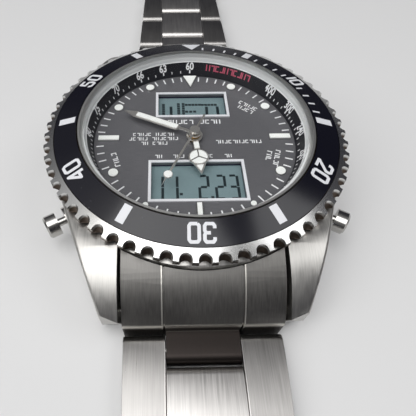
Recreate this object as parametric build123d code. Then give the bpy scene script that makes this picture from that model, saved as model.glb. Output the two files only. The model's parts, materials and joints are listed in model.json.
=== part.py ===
from build123d import *

import os
from math import acos, asin, atan2, cos, degrees, hypot, pi, radians, sin, sqrt, tan

# A steel diver's wristwatch with hands and two liquid crystal windows, lying
# on its case back with the bracelet opened flat. Millimetres, +Z out of the
# dial, +Y to twelve o'clock, origin at the centre of the case back's face.

# Clearances and overruns
overrun = 1.0
running_gap = 0.06
press_gap = 0.01
part_gap = 0.10
seat_gap = 0.02
gear_gap = 0.12

# Heights of the main levels above the case back's face
case_floor_z = 0.9
case_deck_z = 10.5
dial_face_z = 10.0
crystal_top_z = 13.9

# Middle case
case_radius = 20.3
lug_gap = 20.0
lug_length = 5.1
lug_reach = case_radius + lug_length
lug_tip_width = 2.2
lug_tip_half_width = lug_gap / 2 + lug_tip_width
lug_tip_set_back = 0.7
lug_tip_z = 6.0
lug_slope_lead = 2.2
lug_slope_start_y = case_radius - lug_slope_lead
lug_curve_lead = 4.8
lug_curve_start_y = case_radius - lug_curve_lead
lug_undercut = 1.5
lug_foot_z = 0.9
case_edge_radius = 0.45
deck_width = 4.25
neck_radius = case_radius - deck_width
neck_top_z = 13.65
neck_rim_width = 0.3
neck_wall = 0.55
cavity_radius = neck_radius - neck_wall
crystal_seat_z = 12.2
shoulder_z = 2.95
spring_recess_depth = 0.35

# Case back, screwed in from below
back_inset = 3.1
back_radius = case_radius - back_inset
back_rim_z = 1.3
back_thickness = 1.5
back_bevel = 0.35
back_rim_width = 1.0
back_thread_radius = back_radius - back_rim_width
back_thread_top_z = 2.5
back_slot_count = 6
back_slot_width = 2.4
back_slot_length = 1.6
back_slot_depth = 0.45
gasket_wire = 0.5

# Turning bezel with its insert
bezel_overhang = 0.6
bezel_radius = case_radius + bezel_overhang
bezel_floor_z = 10.72
bezel_shoulder_z = 11.95
bezel_grip_width = 1.55
bezel_lip_width = 0.2
insert_outer_radius = bezel_radius - bezel_grip_width
insert_inner_radius = neck_radius + bezel_lip_width
insert_outer_z = 12.66
insert_inner_z = 13.56
insert_thickness = 0.5
bezel_skirt_bevel = 0.5
scallop_count = 60
scallop_inset = 0.15
scallop_place_radius = bezel_radius - scallop_inset
scallop_top_radius = 0.86
scallop_foot_radius = 0.62
pocket_inset = 1.55
pocket_ring_radius = neck_radius + pocket_inset
pocket_radius = 0.35
pocket_depth = 0.25
click_plate_bore_gap = 0.55
click_plate_rim_inset = 1.4
click_plate_inner_radius = neck_radius + click_plate_bore_gap
click_plate_outer_radius = case_radius - click_plate_rim_inset
click_plate_thickness = 0.2
click_tab_count = 3
click_tab_width = 0.5
click_tab_length = 1.4
click_tab_lift = 0.12

# Places on the dial as shares of its radius
lower_window_width_share = 0.8071895
lower_window_low_y_share = -0.7156863
lower_window_high_y_share = -0.3071895
upper_window_width_share = 0.6797386
upper_window_low_y_share = 0.3104575
upper_window_high_y_share = 0.6352941
dot_place_radius_share = 0.8496732
side_dot_place_radius_share = 0.8954248
bar_length_share = 0.1993464
low_bar_length_share = 0.1470588
bar_outer_radius_share = 0.9052288
triangle_base_radius_share = 0.9281046
triangle_height_share = 0.1928105
hour_disc_place_share = 0.2764706
hour_tip_reach_share = 0.4771242
minute_reach_share = 0.7385621
minute_tip_start_share = 0.627451
second_reach_share = 0.7124183
second_tail_share = 0.2352941
second_dot_place_share = 0.5836601

# Crystal and the ring of tachymeter marks below it
crystal_gap = 0.25
crystal_radius = cavity_radius - crystal_gap
crystal_bevel = 0.3
crystal_grip = 0.5
ring_gap = 0.15
ring_foot_inset = 1.1
ring_top_radius = cavity_radius - ring_gap
ring_foot_radius = cavity_radius - ring_foot_inset
ring_lip = 0.12

# Dial, its windows and its hour markers
dial_gap = 0.2
dial_radius = cavity_radius - dial_gap
dial_thickness = 0.4
lower_window_width = dial_radius * lower_window_width_share
lower_window_low_y = dial_radius * lower_window_low_y_share
lower_window_high_y = dial_radius * lower_window_high_y_share
upper_window_width = dial_radius * upper_window_width_share
upper_window_low_y = dial_radius * upper_window_low_y_share
upper_window_high_y = dial_radius * upper_window_high_y_share
window_rim = 0.38
window_rim_height = 0.18
marker_height = 0.25
dot_place_radius = dial_radius * dot_place_radius_share
dot_radius = 0.72
side_dot_place_radius = dial_radius * side_dot_place_radius_share
side_dot_radius = 0.42
bar_length = dial_radius * bar_length_share
bar_width = 0.95
low_bar_length = dial_radius * low_bar_length_share
bar_outer_radius = dial_radius * bar_outer_radius_share
triangle_base_radius = dial_radius * triangle_base_radius_share
triangle_height = dial_radius * triangle_height_share
triangle_half_width = 1.2
solar_thickness = 0.3

# Hands and where they point in the photographed time
hour_rest_deg = 175.5
minute_rest_deg = 295.5
second_rest_deg = 206.0
hand_thickness = 0.2
hour_hand_z = 10.45
minute_hand_z = 10.95
second_hand_z = 11.4
hour_stem_half_width = 0.42
hour_disc_place = dial_radius * hour_disc_place_share
hour_disc_radius = 1.4
hour_tip_reach = dial_radius * hour_tip_reach_share
hour_tip_half_width = 0.85
hour_boss_radius = 1.15
minute_reach = dial_radius * minute_reach_share
minute_half_width = 0.55
minute_tip_start = dial_radius * minute_tip_start_share
minute_neck_half_width = 0.2
minute_neck_end = 2.3
minute_boss_radius = 0.9
second_reach = dial_radius * second_reach_share
second_tail = dial_radius * second_tail_share
second_half_width = 0.13
second_dot_place = dial_radius * second_dot_place_share
second_dot_radius = 0.62
second_boss_radius = 0.7
second_cap_height = 0.2

# Hand train on the centre post and beside it
second_pipe_radius = 0.22
minute_pipe_radius = 0.5
hour_pipe_radius = 0.85
wheel_thickness = 0.35
hour_wheel_z = 6.9
cannon_wheel_z = 6.3
motion_centre_distance = 4.8
cannon_teeth = 12
motion_wheel_teeth = 36
motion_pinion_teeth = 10
hour_wheel_teeth = 40
drive_wheel_teeth = 48
rotor_teeth = 8
drive_module = 0.15
minute_drive_z = 5.6
second_wheel_z = 4.75
post_radius = 0.4
post_shoulder_radius = 0.7
rotor_magnet_radius = 0.9
rotor_magnet_height = 0.7
tooth_height_share = 0.80
tooth_root_share = 1.15
tooth_foot_share = 0.44
tooth_tip_share = 0.17

# Directions of the off-centre axes, clockwise from twelve o'clock
motion_axis_deg = 90.0
minute_rotor_deg = 140.0
second_rotor_deg = 222.0

# Movement plate, bridge, board, cell, displays and receiver
plate_radius = dial_radius
plate_floor_z = 2.75
train_well_radius = 5.95
bridge_thickness = 0.5
board_thickness = 0.6
board_radius = ring_foot_radius
cell_share = 0.3636364
cell_radius = cell_share * (plate_radius - train_well_radius)
cell_thickness = 1.5
cell_wall = 0.75
cell_place_x = -(train_well_radius + cell_radius + cell_wall)
cell_place_y = 0.0
strap_width = 3.0
strap_thickness = 0.15
display_thickness = 1.0
display_margin = 0.8
connector_width = 1.0
antenna_radius = 0.8
antenna_length_share = 0.7189542
antenna_place_share = 0.8431373
antenna_length = antenna_length_share * plate_radius
antenna_place_y = antenna_place_share * plate_radius
antenna_coil_radius = 1.25
antenna_coil_share = 0.7272727
antenna_coil_length = antenna_coil_share * antenna_length
coil_radius = 0.75
coil_length = 5.0
coil_core_radius = 0.35
stator_thickness = 0.4
stator_width = 2.6
motor_coil_offset = 3.1
screw_head_radius = 0.75
screw_head_height = 0.35
screw_shank_radius = 0.4
screw_length = 1.2
screw_inset = 1.7
screw_place_radius = plate_radius - screw_inset
screw_place_degs = (45.0, 135.0, 225.0, 315.0)

# Four push buttons through the case side, clockwise from twelve o'clock
pusher_degs = {"2": 60.0, "4": 120.0, "8": 240.0, "10": 300.0}
pusher_z = 5.0
pusher_travel = 1.0
pusher_head_radius = 1.6
pusher_head_length = 1.7
pusher_reach = 3.5
pusher_head_outer = case_radius + pusher_reach
pusher_groove = 0.25
pusher_stem_radius = 0.55
tube_radius = 1.35
tube_bore_radius = 1.0
tube_flange_radius = 1.75
tube_seat_depth = 0.4
tube_seat = case_radius - tube_seat_depth
tube_floor = 0.35
pusher_stem_gap = 0.4
pusher_stem_end = cavity_radius + pusher_stem_gap
seal_radius = 0.98
seal_length = 0.6
spring_radius = 0.95
spring_wall = 0.25
spring_length = 3.2

# End pieces that fill the gap between the lugs
end_side_gap = 0.35
end_width = lug_gap - 2 * end_side_gap
end_top_z = 9.6
end_curve_inset = 3.1
end_mid_y = lug_reach - end_curve_inset
end_mid_z = 7.75
end_low_z = 4.5
end_floor_z = 0.55
end_edge_radius = 0.75
end_groove = 0.22
lug_bar_inset = 2.4
lug_bar_y = lug_reach - lug_bar_inset
lug_bar_z = 3.3
lug_bar_radius = 0.75
lug_bar_tip_radius = 0.4
lug_bar_tip_length = 0.8

# Bracelet links
link_thickness = 2.7
link_pitch = 10.3
link_split_gap = 0.24
link_ear_reach = 1.72
link_edge_radius = 1.1
link_crown_radius = 46.0
link_overlap = 0.05
link_first_width = end_width + 2 * link_overlap
link_taper = 0.75
link_narrowing = 3.0
link_least_width = link_first_width - link_narrowing
link_web_thickness = 1.5
centre_share = 0.47
side_gap = 0.09
first_pivot_reach = 2.0
first_pivot_y = lug_reach + first_pivot_reach
pin_radius = 0.5
upper_link_count = 6
lower_link_count = 4

# Folding clasp on the six o'clock half
cover_length = 37.0
cover_side = 1.0
cover_width = link_least_width + 2 * cover_side
cover_top_z = 4.5
cover_plate = 0.8
cover_wall = 0.8
cover_floor_z = 0.75
cover_edge_radius = 0.7
cover_lead = 3.4
adjust_hole_count = 6
adjust_hole_pitch = 2.6
adjust_hole_radius = 0.5
blade_width = 8.4
blade_thickness = 0.75
blade_set_back = 8.8
long_blade_length = cover_length - blade_set_back
short_blade_extra = 3.2
long_blade_z = 2.35
short_blade_z = 0.05
hinge_knuckle_radius = 0.95
hinge_pin_radius = 0.45
flap_length = 9.5
flap_plate = 0.6
flap_cheek = 0.6
flap_cheek_length = 2.0
flap_rise = 0.12
flap_nail_lip = 0.5

# Sizes worked out from the ones above
dial_back_z = dial_face_z - dial_thickness
solar_back_z = dial_back_z - solar_thickness
pivot_z = link_thickness / 2
lug_half_gap = lug_gap / 2
end_half_width = end_width / 2
link_body = link_pitch - link_split_gap
centre_half = centre_share * link_first_width / 2
module_motion = 2 * motion_centre_distance / (cannon_teeth + motion_wheel_teeth)
module_hour = 2 * motion_centre_distance / (motion_pinion_teeth + hour_wheel_teeth)
rotor_distance = drive_module * (drive_wheel_teeth + rotor_teeth) / 2
bezel_slope = (insert_inner_z - insert_outer_z) / (insert_outer_radius - insert_inner_radius)
bezel_bore_radius = neck_radius + running_gap
crystal_foot_z = crystal_seat_z + seat_gap
plate_top_z = solar_back_z


# Shared shapes
def place(angle_deg, distance):
    """A point at a distance from the centre, clockwise from twelve o'clock."""
    return distance * sin(radians(angle_deg)), distance * cos(radians(angle_deg))


def disc(radius, low_z, high_z, x=0, y=0):
    """An upright cylinder between two heights."""
    height = high_z - low_z
    return Pos(x, y, low_z + height / 2) * Cylinder(radius, height)


def ring(outer_radius, inner_radius, low_z, high_z, x=0, y=0):
    """An upright tube between two heights."""
    bore = disc(inner_radius, low_z - overrun, high_z + overrun, x, y)
    return disc(outer_radius, low_z, high_z, x, y) - bore


def block(low_x, high_x, low_y, high_y, low_z, high_z):
    """A box between its two corners."""
    size = (high_x - low_x, high_y - low_y, high_z - low_z)
    middle = ((low_x + high_x) / 2, (low_y + high_y) / 2, (low_z + high_z) / 2)
    return Pos(*middle) * Box(*size)


def turned(points):
    """A solid of revolution about Z from points of radius and height."""
    outline = Polyline(*[(radius, 0, height) for radius, height in points], close=True)
    return revolve(make_face(outline), axis=Axis.Z)


def plate_from(outline, low_z, high_z):
    """A flat outline in the XY plane made into a plate."""
    return extrude(Pos(0, 0, low_z) * outline, amount=high_z - low_z)


def bar_along_x(radius, half_length, y, z):
    """A round bar across the bracelet."""
    return Pos(0, y, z) * Rot(0, 90, 0) * Cylinder(radius, 2 * half_length)


def turn_clockwise(angle_deg, shape):
    """A shape drawn towards twelve o'clock, turned to another direction."""
    return Rot(0, 0, -angle_deg) * shape


def outward(angle_deg, height, shape):
    """A shape turned about Z, laid so that its axis points out of the case."""
    return Pos(0, 0, height) * Rot(0, 0, -angle_deg) * Rot(-90, 0, 0) * shape


def only_solid(shape):
    """The largest solid that a boolean left."""
    return max(shape.solids(), key=lambda solid: solid.volume)


def gear(teeth, module, low_z, high_z, bore_radius, phase_deg=0):
    """A spur wheel with straight-flanked teeth, its first tooth on twelve o'clock."""
    pitch_radius = teeth * module / 2
    tip_radius = pitch_radius + tooth_height_share * module
    root_radius = pitch_radius - tooth_root_share * module
    step_deg = 360 / teeth
    corners = []
    for number in range(teeth):
        middle_deg = number * step_deg + phase_deg
        foot_half_deg = step_deg * tooth_foot_share / 2
        tip_half_deg = step_deg * tooth_tip_share / 2
        corners.append(place(middle_deg - foot_half_deg, root_radius))
        corners.append(place(middle_deg - tip_half_deg, tip_radius))
        corners.append(place(middle_deg + tip_half_deg, tip_radius))
        corners.append(place(middle_deg + foot_half_deg, root_radius))
    wheel = plate_from(make_face(Polyline(*corners, close=True)), low_z, high_z)
    return wheel - disc(bore_radius, low_z - overrun, high_z + overrun)


def meshing_phase(axis_deg, leader_teeth, follower_teeth):
    """The turn of a follower whose gap faces the leader's tooth or gap."""
    leader_step = 360 / leader_teeth
    offset = (axis_deg % leader_step) / leader_step
    follower_step = 360 / follower_teeth
    back_deg = axis_deg + 180
    return back_deg + follower_step * (0.5 + offset)


# Middle case with its four lugs
def lug_outline():
    """The case's plan: its round body and two tangents to each lug tip."""
    tip_x = lug_tip_half_width
    tip_y = lug_reach - lug_tip_set_back
    reach = hypot(tip_x, tip_y)
    touch = atan2(tip_y, tip_x) - acos(case_radius / reach)
    touch_x = case_radius * cos(touch)
    touch_y = case_radius * sin(touch)
    corners = [(touch_x, touch_y), (tip_x, tip_y), (lug_half_gap, lug_reach), (-lug_half_gap, lug_reach)]
    corners += [(-tip_x, tip_y), (-touch_x, touch_y), (-touch_x, -touch_y), (-tip_x, -tip_y)]
    corners += [(-lug_half_gap, -lug_reach), (lug_half_gap, -lug_reach), (tip_x, -tip_y), (touch_x, -touch_y)]
    return make_face(Polyline(*corners, close=True)) + Circle(case_radius)


def side_profile():
    """The case seen from three o'clock: deck, curved lugs and undercut tips."""
    foot_y = lug_reach - lug_undercut
    run = lug_reach - lug_curve_start_y
    fall = case_deck_z - lug_tip_z
    curve_radius = (run**2 + fall**2) / (2 * fall)
    half_turn = asin(run / curve_radius) / 2
    middle_y = lug_curve_start_y + curve_radius * sin(half_turn)
    middle_z = case_deck_z - curve_radius * (1 - cos(half_turn))
    lines = []
    for side in (-1, 1):
        start = (0, side * lug_curve_start_y, case_deck_z)
        tip = (0, side * lug_reach, lug_tip_z)
        foot = (0, side * foot_y, lug_foot_z)
        lines.append(ThreePointArc(start, (0, side * middle_y, middle_z), tip))
        lines.append(Line(tip, foot))
    lines.append(Line((0, -lug_curve_start_y, case_deck_z), (0, lug_curve_start_y, case_deck_z)))
    lines.append(Line((0, -foot_y, lug_foot_z), (0, foot_y, lug_foot_z)))
    half = case_radius + overrun
    return extrude(make_face(lines), amount=half, both=True)


def mid_case():
    """One piece of steel: round body, lugs, neck and the bores for all that fits it."""
    body = plate_from(lug_outline(), case_floor_z, case_deck_z)
    body = body & side_profile()
    lug_top = lug_tip_z
    rims = [e for e in body.edges() if is_lug_rim(e, lug_top)]
    body = fillet(rims, radius=case_edge_radius)
    between = lug_half_gap
    for side in (-1, 1):
        far = side * (lug_reach + overrun)
        low_y, high_y = sorted((0, far))
        gap = block(-between, between, low_y, high_y, case_floor_z - overrun, case_deck_z + overrun)
        body -= gap - disc(case_radius, case_floor_z - 2 * overrun, case_deck_z + 2 * overrun)
    body += disc(neck_radius, case_deck_z - overrun, neck_top_z)
    lip_radius = neck_radius - neck_rim_width
    hollow = [
        (0, case_floor_z - overrun),
        (back_radius + part_gap, case_floor_z - overrun),
        (back_radius + part_gap, back_rim_z + seat_gap),
        (back_thread_radius + seat_gap, back_rim_z + seat_gap),
        (back_thread_radius + seat_gap, shoulder_z),
        (cavity_radius, shoulder_z),
        (cavity_radius, crystal_seat_z + crystal_grip),
        (lip_radius, neck_top_z),
        (lip_radius, neck_top_z + overrun),
        (0, neck_top_z + overrun),
    ]
    body -= turned(hollow)
    recess_floor = case_deck_z - spring_recess_depth
    outer = click_plate_outer_radius + part_gap
    body -= ring(outer, click_plate_inner_radius - part_gap, recess_floor, case_deck_z + overrun)
    for angle in pusher_degs.values():
        bore = disc(tube_radius + press_gap, cavity_radius - overrun, case_radius + overrun)
        bore += disc(tube_flange_radius + part_gap, tube_seat, pusher_head_outer)
        body -= outward(angle, pusher_z, bore)
    for side in (-1, 1):
        hole_half = lug_half_gap + lug_bar_tip_length + part_gap
        body -= bar_along_x(lug_bar_tip_radius + seat_gap, hole_half, side * lug_bar_y, lug_bar_z)
    return only_solid(body)


def is_lug_rim(edge, lug_top):
    """True for the outer top edges that run down the lugs."""
    middle = edge.position_at(0.5)
    start = edge.position_at(0)
    end = edge.position_at(1)
    falls = abs(start.Z - end.Z) > case_edge_radius
    outside = abs(middle.X) > lug_half_gap + case_edge_radius
    slopes = lug_slope_start_y - case_radius / 2 < abs(middle.Y) < lug_reach - lug_tip_set_back
    return falls and outside and slopes and middle.Z > lug_top


def case_back():
    """A screwed back with a flat face, a threaded wall and slots for its key."""
    points = [
        (0, 0),
        (back_radius - back_bevel - back_thickness, 0),
        (back_radius - back_bevel, back_bevel),
        (back_radius, back_rim_z - back_bevel),
        (back_radius, back_rim_z),
        (back_thread_radius, back_rim_z),
        (back_thread_radius, back_thread_top_z),
        (back_thread_radius - back_thickness, back_thread_top_z),
        (back_thread_radius - back_thickness, back_thickness),
        (0, back_thickness),
    ]
    body = turned(points)
    reach = back_radius + back_slot_length - back_bevel
    for number in range(back_slot_count):
        half = back_slot_width / 2
        slot = block(-half, half, back_radius - 2 * back_slot_length, reach, -overrun, back_slot_depth)
        body -= turn_clockwise(number * 360 / back_slot_count, slot)
    return only_solid(body)


def case_back_gasket():
    """A ring squeezed between the back's wall and the case."""
    outer = back_thread_radius - seat_gap
    return ring(outer, outer - gasket_wire, back_thread_top_z + seat_gap, shoulder_z - seat_gap)


# Bezel
def bezel_profile():
    """The turning ring: bore, seat of the insert, sloping rim and skirt."""
    drop = bezel_slope * (insert_outer_radius + part_gap - insert_inner_radius)
    inner_lip_z = insert_inner_z - insert_thickness
    outer_seat_z = inner_lip_z - drop
    rim_z = insert_inner_z - drop
    return [
        (bezel_bore_radius, bezel_floor_z),
        (bezel_radius - bezel_skirt_bevel, bezel_floor_z),
        (bezel_radius, bezel_floor_z + bezel_skirt_bevel),
        (bezel_radius, bezel_shoulder_z),
        (insert_outer_radius + part_gap, rim_z),
        (insert_outer_radius + part_gap, outer_seat_z),
        (insert_inner_radius, inner_lip_z),
        (bezel_bore_radius, inner_lip_z),
    ]


def bezel_ring():
    """The grip ring with one tapered flute for each minute and click pockets below."""
    body = turned(bezel_profile())
    low_z = bezel_floor_z - overrun / 2
    high_z = bezel_shoulder_z + overrun
    height = high_z - low_z
    flute = Cone(scallop_foot_radius, scallop_top_radius, height)
    pocket = Cylinder(pocket_radius, 2 * pocket_depth)
    flutes = []
    pockets = []
    for number in range(scallop_count):
        angle = number * 360 / scallop_count
        x, y = place(angle, scallop_place_radius)
        flutes.append(Pos(x, y, low_z + height / 2) * flute)
        if number % 2 == 0:
            x, y = place(angle, pocket_ring_radius)
            pockets.append(Pos(x, y, bezel_floor_z) * pocket)
    return only_solid(body - flutes - pockets)


def bezel_insert():
    """The dished black ring that carries the minute scale."""
    drop = bezel_slope * (insert_outer_radius - insert_inner_radius)
    low_z = insert_inner_z - insert_thickness + seat_gap
    points = [
        (insert_inner_radius, low_z),
        (insert_outer_radius, low_z - drop),
        (insert_outer_radius, insert_inner_z - drop),
        (insert_inner_radius, insert_inner_z),
    ]
    return turned(points)


def click_spring():
    """A thin steel ring with sprung tabs that rise towards the bezel's pockets."""
    low_z = case_deck_z - spring_recess_depth + seat_gap
    high_z = low_z + click_plate_thickness
    body = ring(click_plate_outer_radius, click_plate_inner_radius, low_z, high_z)
    half = click_tab_width / 2
    for number in range(click_tab_count):
        angle = (number + 0.5) * 360 / click_tab_count
        middle = pocket_ring_radius
        low_y = middle - click_tab_length / 2
        high_y = middle + click_tab_length / 2
        tab = block(-half, half, low_y, high_y, low_z, high_z + click_tab_lift)
        body += turn_clockwise(angle, tab)
    return only_solid(body)


# Glass and the sloping ring under it
def crystal():
    """A flat mineral glass with a bevelled edge."""
    points = [
        (0, crystal_foot_z),
        (crystal_radius, crystal_foot_z),
        (crystal_radius, crystal_top_z - crystal_bevel),
        (crystal_radius - crystal_bevel, crystal_top_z),
        (0, crystal_top_z),
    ]
    return turned(points)


def crystal_gasket():
    """A thin ring pressed between the glass and the neck."""
    inner = crystal_radius + press_gap
    outer = cavity_radius - press_gap
    return ring(outer, inner, crystal_foot_z, crystal_foot_z + crystal_grip)


def tachymeter_ring():
    """The black sloping ring between the dial and the glass."""
    foot_z = dial_face_z + seat_gap
    top_z = crystal_foot_z - seat_gap
    outer = cavity_radius - part_gap
    points = [
        (ring_foot_radius, foot_z),
        (outer, foot_z),
        (outer, top_z),
        (ring_top_radius, top_z),
        (ring_foot_radius, foot_z + ring_lip),
    ]
    return turned(points)


# Dial side
def window_box(width, low_y, high_y, low_z, high_z, grow=0):
    """The space of one display window, with an even margin round it."""
    half = width / 2 + grow
    return block(-half, half, low_y - grow, high_y + grow, low_z, high_z)


def both_windows(low_z, high_z, grow=0):
    """Both display windows as cutting boxes."""
    lower = window_box(lower_window_width, lower_window_low_y, lower_window_high_y, low_z, high_z, grow)
    upper = window_box(upper_window_width, upper_window_low_y, upper_window_high_y, low_z, high_z, grow)
    return lower + upper


def dial():
    """The printed disc with two windows and a hole for the hands' post."""
    body = disc(dial_radius, dial_back_z, dial_face_z)
    low_z = dial_back_z - overrun
    high_z = dial_face_z + overrun
    body -= both_windows(low_z, high_z)
    return only_solid(body - disc(hour_pipe_radius + part_gap, low_z, high_z))


def window_frames():
    """Two raised frames round the display windows."""
    low_z = dial_face_z
    high_z = dial_face_z + window_rim_height
    return both_windows(low_z, high_z, window_rim) - both_windows(low_z - overrun, high_z + overrun)


def hour_markers():
    """Applied dots, bars and the triangle at twelve o'clock."""
    low_z = dial_face_z
    high_z = dial_face_z + marker_height
    markers = []
    for hour in (1, 2, 4, 8, 10, 11):
        x, y = place(hour * 30, dot_place_radius)
        markers.append(disc(dot_radius, low_z, high_z, x, y))
    for hour in (5, 7):
        x, y = place(hour * 30, side_dot_place_radius)
        markers.append(disc(side_dot_radius, low_z, high_z, x, y))
    half = bar_width / 2
    for hour, length in ((3, bar_length), (9, bar_length), (6, low_bar_length)):
        bar = block(-half, half, bar_outer_radius - length, bar_outer_radius, low_z, high_z)
        markers.append(turn_clockwise(hour * 30, bar))
    base_y = triangle_base_radius
    corners = [(-triangle_half_width, base_y), (triangle_half_width, base_y), (0, base_y - triangle_height)]
    markers.append(plate_from(make_face(Polyline(*corners, close=True)), low_z, high_z))
    return Compound(children=markers)


def solar_cell():
    """The light cell behind the translucent dial."""
    body = disc(dial_radius - part_gap, solar_back_z, dial_back_z - seat_gap)
    body -= both_windows(solar_back_z - overrun, dial_back_z + overrun)
    return only_solid(body - disc(hour_pipe_radius + part_gap, solar_back_z - overrun, dial_face_z))


def display(width, low_y, high_y):
    """One liquid crystal glass behind its window."""
    top_z = solar_back_z - seat_gap
    low_z = top_z - display_thickness
    return window_box(width, low_y, high_y, low_z, top_z, display_margin)


def lower_display():
    return display(lower_window_width, lower_window_low_y, lower_window_high_y)


def upper_display():
    return display(upper_window_width, upper_window_low_y, upper_window_high_y)


def display_connectors():
    """Rubber strips that carry the signals from the board to both glasses."""
    top_z = solar_back_z - display_thickness - 2 * seat_gap
    low_z = board_top_z() + seat_gap
    strips = []
    for width, side, edge_y in outer_window_edges():
        outer_y = edge_y + side * display_margin
        low_y, high_y = sorted((outer_y, outer_y - side * connector_width))
        strips.append(block(-width / 2, width / 2, low_y, high_y, low_z, top_z))
    return Compound(children=strips)


def outer_window_edges():
    """Each window's width, its side of the centre and its edge furthest out."""
    return ((lower_window_width, -1, lower_window_low_y), (upper_window_width, 1, upper_window_high_y))


def board_top_z():
    return plate_floor_z + board_thickness


# Movement
def movement_plate():
    """The moulded plate that seats the train, the motors, the cell and the displays."""
    body = disc(plate_radius, plate_floor_z, plate_top_z - seat_gap)
    body -= disc(board_radius + part_gap, plate_floor_z - overrun, board_top_z() + part_gap)
    low_z = plate_floor_z - overrun
    glass_low_z = solar_back_z - display_thickness - 2 * part_gap
    body -= both_windows(glass_low_z, plate_top_z + overrun, display_margin + part_gap)
    train_top_z = hour_wheel_z + wheel_thickness + 2 * gear_gap
    body -= disc(train_well_radius, low_z, train_top_z)
    body -= disc(hour_pipe_radius + part_gap, low_z, plate_top_z + overrun)
    motion_x, motion_y = place(motion_axis_deg, motion_centre_distance)
    wheel_radius = module_motion * (motion_wheel_teeth / 2 + 1) + gear_gap
    body -= disc(wheel_radius, low_z, train_top_z, motion_x, motion_y)
    cell_top_z = board_top_z() + cell_thickness + part_gap
    body -= disc(cell_radius + part_gap, low_z, cell_top_z, cell_place_x, cell_place_y)
    for width, side, edge_y in outer_window_edges():
        half = width / 2 + part_gap
        outer_y = edge_y + side * (display_margin + part_gap)
        inner_y = edge_y + side * (display_margin - connector_width - part_gap)
        low_y, high_y = sorted((outer_y, inner_y))
        body -= block(-half, half, low_y, high_y, low_z, plate_top_z)
    body -= antenna_space(low_z)
    for angle in (minute_rotor_deg, second_rotor_deg):
        body -= turn_clockwise(angle, motor_space(low_z))
    for angle in screw_place_degs:
        x, y = place(angle, screw_place_radius)
        body -= disc(screw_shank_radius + press_gap, low_z, board_top_z() + screw_length, x, y)
    for angle in pusher_degs.values():
        x, y = place(angle, plate_radius)
        body -= disc(tube_radius, pusher_z - tube_radius, pusher_z + tube_radius, x, y)
    return only_solid(body)


def antenna_space(low_z):
    """The room for the ferrite rod and its winding."""
    half = antenna_length / 2 + part_gap
    reach = antenna_coil_radius + part_gap
    return block(-half, half, antenna_place_y - reach, antenna_place_y + reach, low_z, antenna_z() + reach)


def motor_space(low_z):
    """The well of one motor, drawn towards twelve o'clock."""
    top_z = minute_drive_z + wheel_thickness + 2 * gear_gap
    half = coil_length / 2 + stator_thickness + part_gap
    low_y = rotor_distance - stator_width / 2 - part_gap
    high_y = rotor_distance + motor_coil_offset + coil_radius + part_gap
    return block(-half, half, low_y, high_y, low_z, top_z)


def circuit_board():
    """The round board under the plate, cut away for the train, the cell and the motors."""
    low_z = plate_floor_z
    high_z = board_top_z()
    body = disc(board_radius, low_z, high_z)
    body -= disc(cell_radius + part_gap, low_z - overrun, high_z + overrun, cell_place_x, cell_place_y)
    for angle in screw_place_degs:
        x, y = place(angle, screw_place_radius)
        body -= disc(screw_shank_radius + press_gap, low_z - overrun, high_z + overrun, x, y)
    body -= antenna_space(low_z - overrun)
    body -= disc(post_radius + part_gap, low_z - overrun, high_z + overrun)
    return only_solid(body)


def rechargeable_cell():
    """A coin cell seated against the plate."""
    low_z = plate_floor_z + strap_thickness + seat_gap
    high_z = board_top_z() + cell_thickness
    body = disc(cell_radius, low_z, high_z, cell_place_x, cell_place_y)
    lid_radius = cell_radius - cell_thickness / 2
    step_z = low_z + strap_thickness
    body -= ring(cell_radius + overrun, lid_radius, low_z - overrun, step_z, cell_place_x, cell_place_y)
    return only_solid(body)


def cell_strap():
    """The sprung strip that holds the coin cell from below."""
    half = strap_width / 2
    left = cell_place_x - cell_radius - seat_gap
    right = cell_place_x + cell_radius + strap_width
    top_z = plate_floor_z + strap_thickness
    strip = block(left, right, -half, half, plate_floor_z, top_z)
    return Pos(0, cell_place_y, -strap_thickness) * strip


def antenna_z():
    return board_top_z() + antenna_coil_radius


def antenna_core():
    """The ferrite rod of the time signal receiver."""
    return bar_along_x(antenna_radius, antenna_length / 2, antenna_place_y, antenna_z())


def antenna_coil():
    """The winding round the ferrite rod."""
    body = bar_along_x(antenna_coil_radius, antenna_coil_length / 2, antenna_place_y, antenna_z())
    return body - bar_along_x(antenna_radius + press_gap, antenna_length, antenna_place_y, antenna_z())


def motor_coil_z():
    return board_top_z() + coil_radius + stator_thickness + seat_gap


def motor_coils():
    """The two motors' windings."""
    coils = []
    for angle in (minute_rotor_deg, second_rotor_deg):
        y = rotor_distance + motor_coil_offset
        coil = bar_along_x(coil_radius, coil_length / 2, y, motor_coil_z())
        coil -= bar_along_x(coil_core_radius + press_gap, coil_length, y, motor_coil_z())
        coils.append(turn_clockwise(angle, coil))
    return Compound(children=coils)


def motor_stators():
    """The two motors' iron frames: plate round the rotor, cheeks and coil core."""
    frames = []
    low_z = board_top_z() + seat_gap
    high_z = low_z + stator_thickness
    outer = coil_length / 2 + stator_thickness
    near_y = rotor_distance - stator_width / 2
    coil_y = rotor_distance + motor_coil_offset
    far_y = coil_y + coil_core_radius
    for angle in (minute_rotor_deg, second_rotor_deg):
        frame = block(-outer, outer, near_y, near_y + stator_width, low_z, high_z)
        for side in (-1, 1):
            low_x, high_x = sorted((side * (coil_length / 2 + press_gap), side * outer))
            frame += block(low_x, high_x, near_y, far_y, low_z, motor_coil_z() + coil_core_radius)
        frame += bar_along_x(coil_core_radius, outer, coil_y, motor_coil_z())
        gap_radius = rotor_magnet_radius + gear_gap
        frame -= disc(gap_radius, low_z - overrun, high_z + overrun, 0, rotor_distance)
        frames.append(turn_clockwise(angle, only_solid(frame)))
    return Compound(children=frames)


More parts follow.
